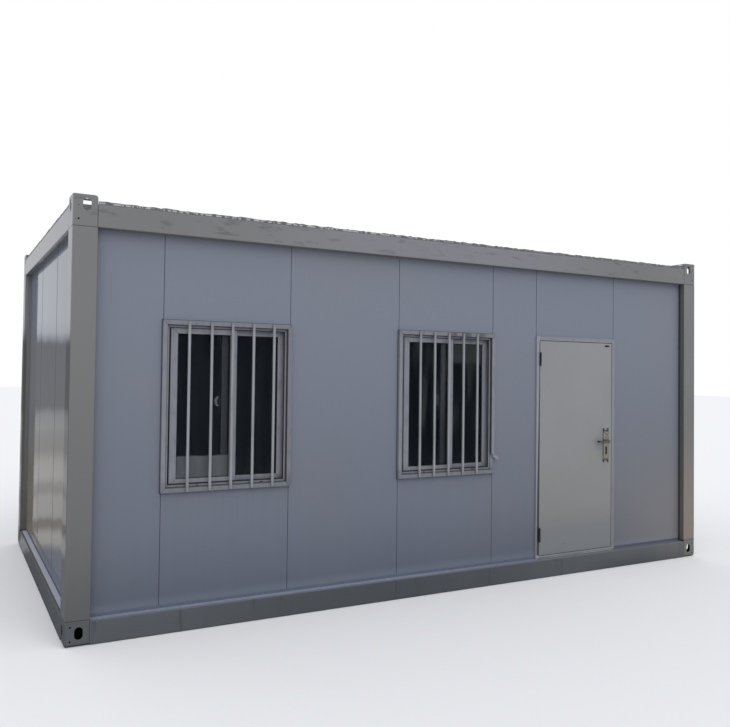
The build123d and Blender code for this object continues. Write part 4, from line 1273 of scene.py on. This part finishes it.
floor_mesh = bpy.data.meshes.new("studio_floor")
corners = [(x * floor_reach, y * floor_reach, 0) for x, y in ((-1, -1), (1, -1), (1, 1), (-1, 1))]
floor_mesh.from_pydata(corners, [], [(0, 1, 2, 3)])
floor = bpy.data.objects.new("studio_floor", floor_mesh)
bpy.context.scene.collection.objects.link(floor)
floor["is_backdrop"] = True


def seen_directly(nodes):
    """1 for the rays that show a thing itself, in view, in gloss or through glass; 0 for its light."""
    path = nodes.node("ShaderNodeLightPath", output="Is Camera Ray")
    return path.most(path.output("Is Glossy Ray")).most(path.output("Is Transmission Ray"))


floor_finish = Finish("studio_floor", specular=0.0, roughness=0.9)
floor_finish.surface(floor_finish.coats(floor_bounce, (floor_seen, seen_directly(floor_finish))))
floor_mesh.materials.append(floor_finish.material)

world = bpy.data.worlds.new("studio")
world.use_nodes = True
bpy.context.scene.world = world
surround = Nodes(world.node_tree)
shades = {0: seen_directly(surround), 6: surround_light, 7: white}
shown = surround.node("ShaderNodeMix", {"data_type": "RGBA"}, shades, output=2)
world.node_tree.links.new(shown.socket, world.node_tree.nodes["Background"].inputs["Color"])

lamp_data = bpy.data.lights.new("soft_lamp", "SUN")
lamp_data.energy = lamp_strength
lamp_data.angle = lamp_width
lamp = bpy.data.objects.new("soft_lamp", lamp_data)
lamp.rotation_euler = lamp_direction.to_track_quat("Z", "Y").to_euler()
bpy.context.scene.collection.objects.link(lamp)

# ---- Camera ----
# At standing height in front of the left corner, looking along the front.

camera_place = (-3.7630, -6.1979, 1.7798)
heading, tilt, roll = 0.442584, 0.022620, 0.014794
lens, sensor = 35.37, 36.0
shift_x, shift_y = 0.11404, -0.01303

forward = Vector((math.sin(heading) * math.cos(tilt), math.cos(heading) * math.cos(tilt), math.sin(tilt)))
level_right = Vector((math.cos(heading), -math.sin(heading), 0))
level_up = level_right.cross(forward)
right = level_right * math.cos(roll) + level_up * math.sin(roll)
up = level_up * math.cos(roll) - level_right * math.sin(roll)
camera_data = bpy.data.cameras.new("camera")
camera_data.lens, camera_data.sensor_width = lens, sensor
camera_data.shift_x, camera_data.shift_y = shift_x, shift_y
camera = bpy.data.objects.new("camera", camera_data)
camera.matrix_world = Matrix.Translation(camera_place) @ Matrix((right, up, -forward)).transposed().to_4x4()
bpy.context.scene.collection.objects.link(camera)
bpy.context.scene.camera = camera
bpy.context.scene.view_settings.view_transform = "Standard"

low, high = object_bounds()
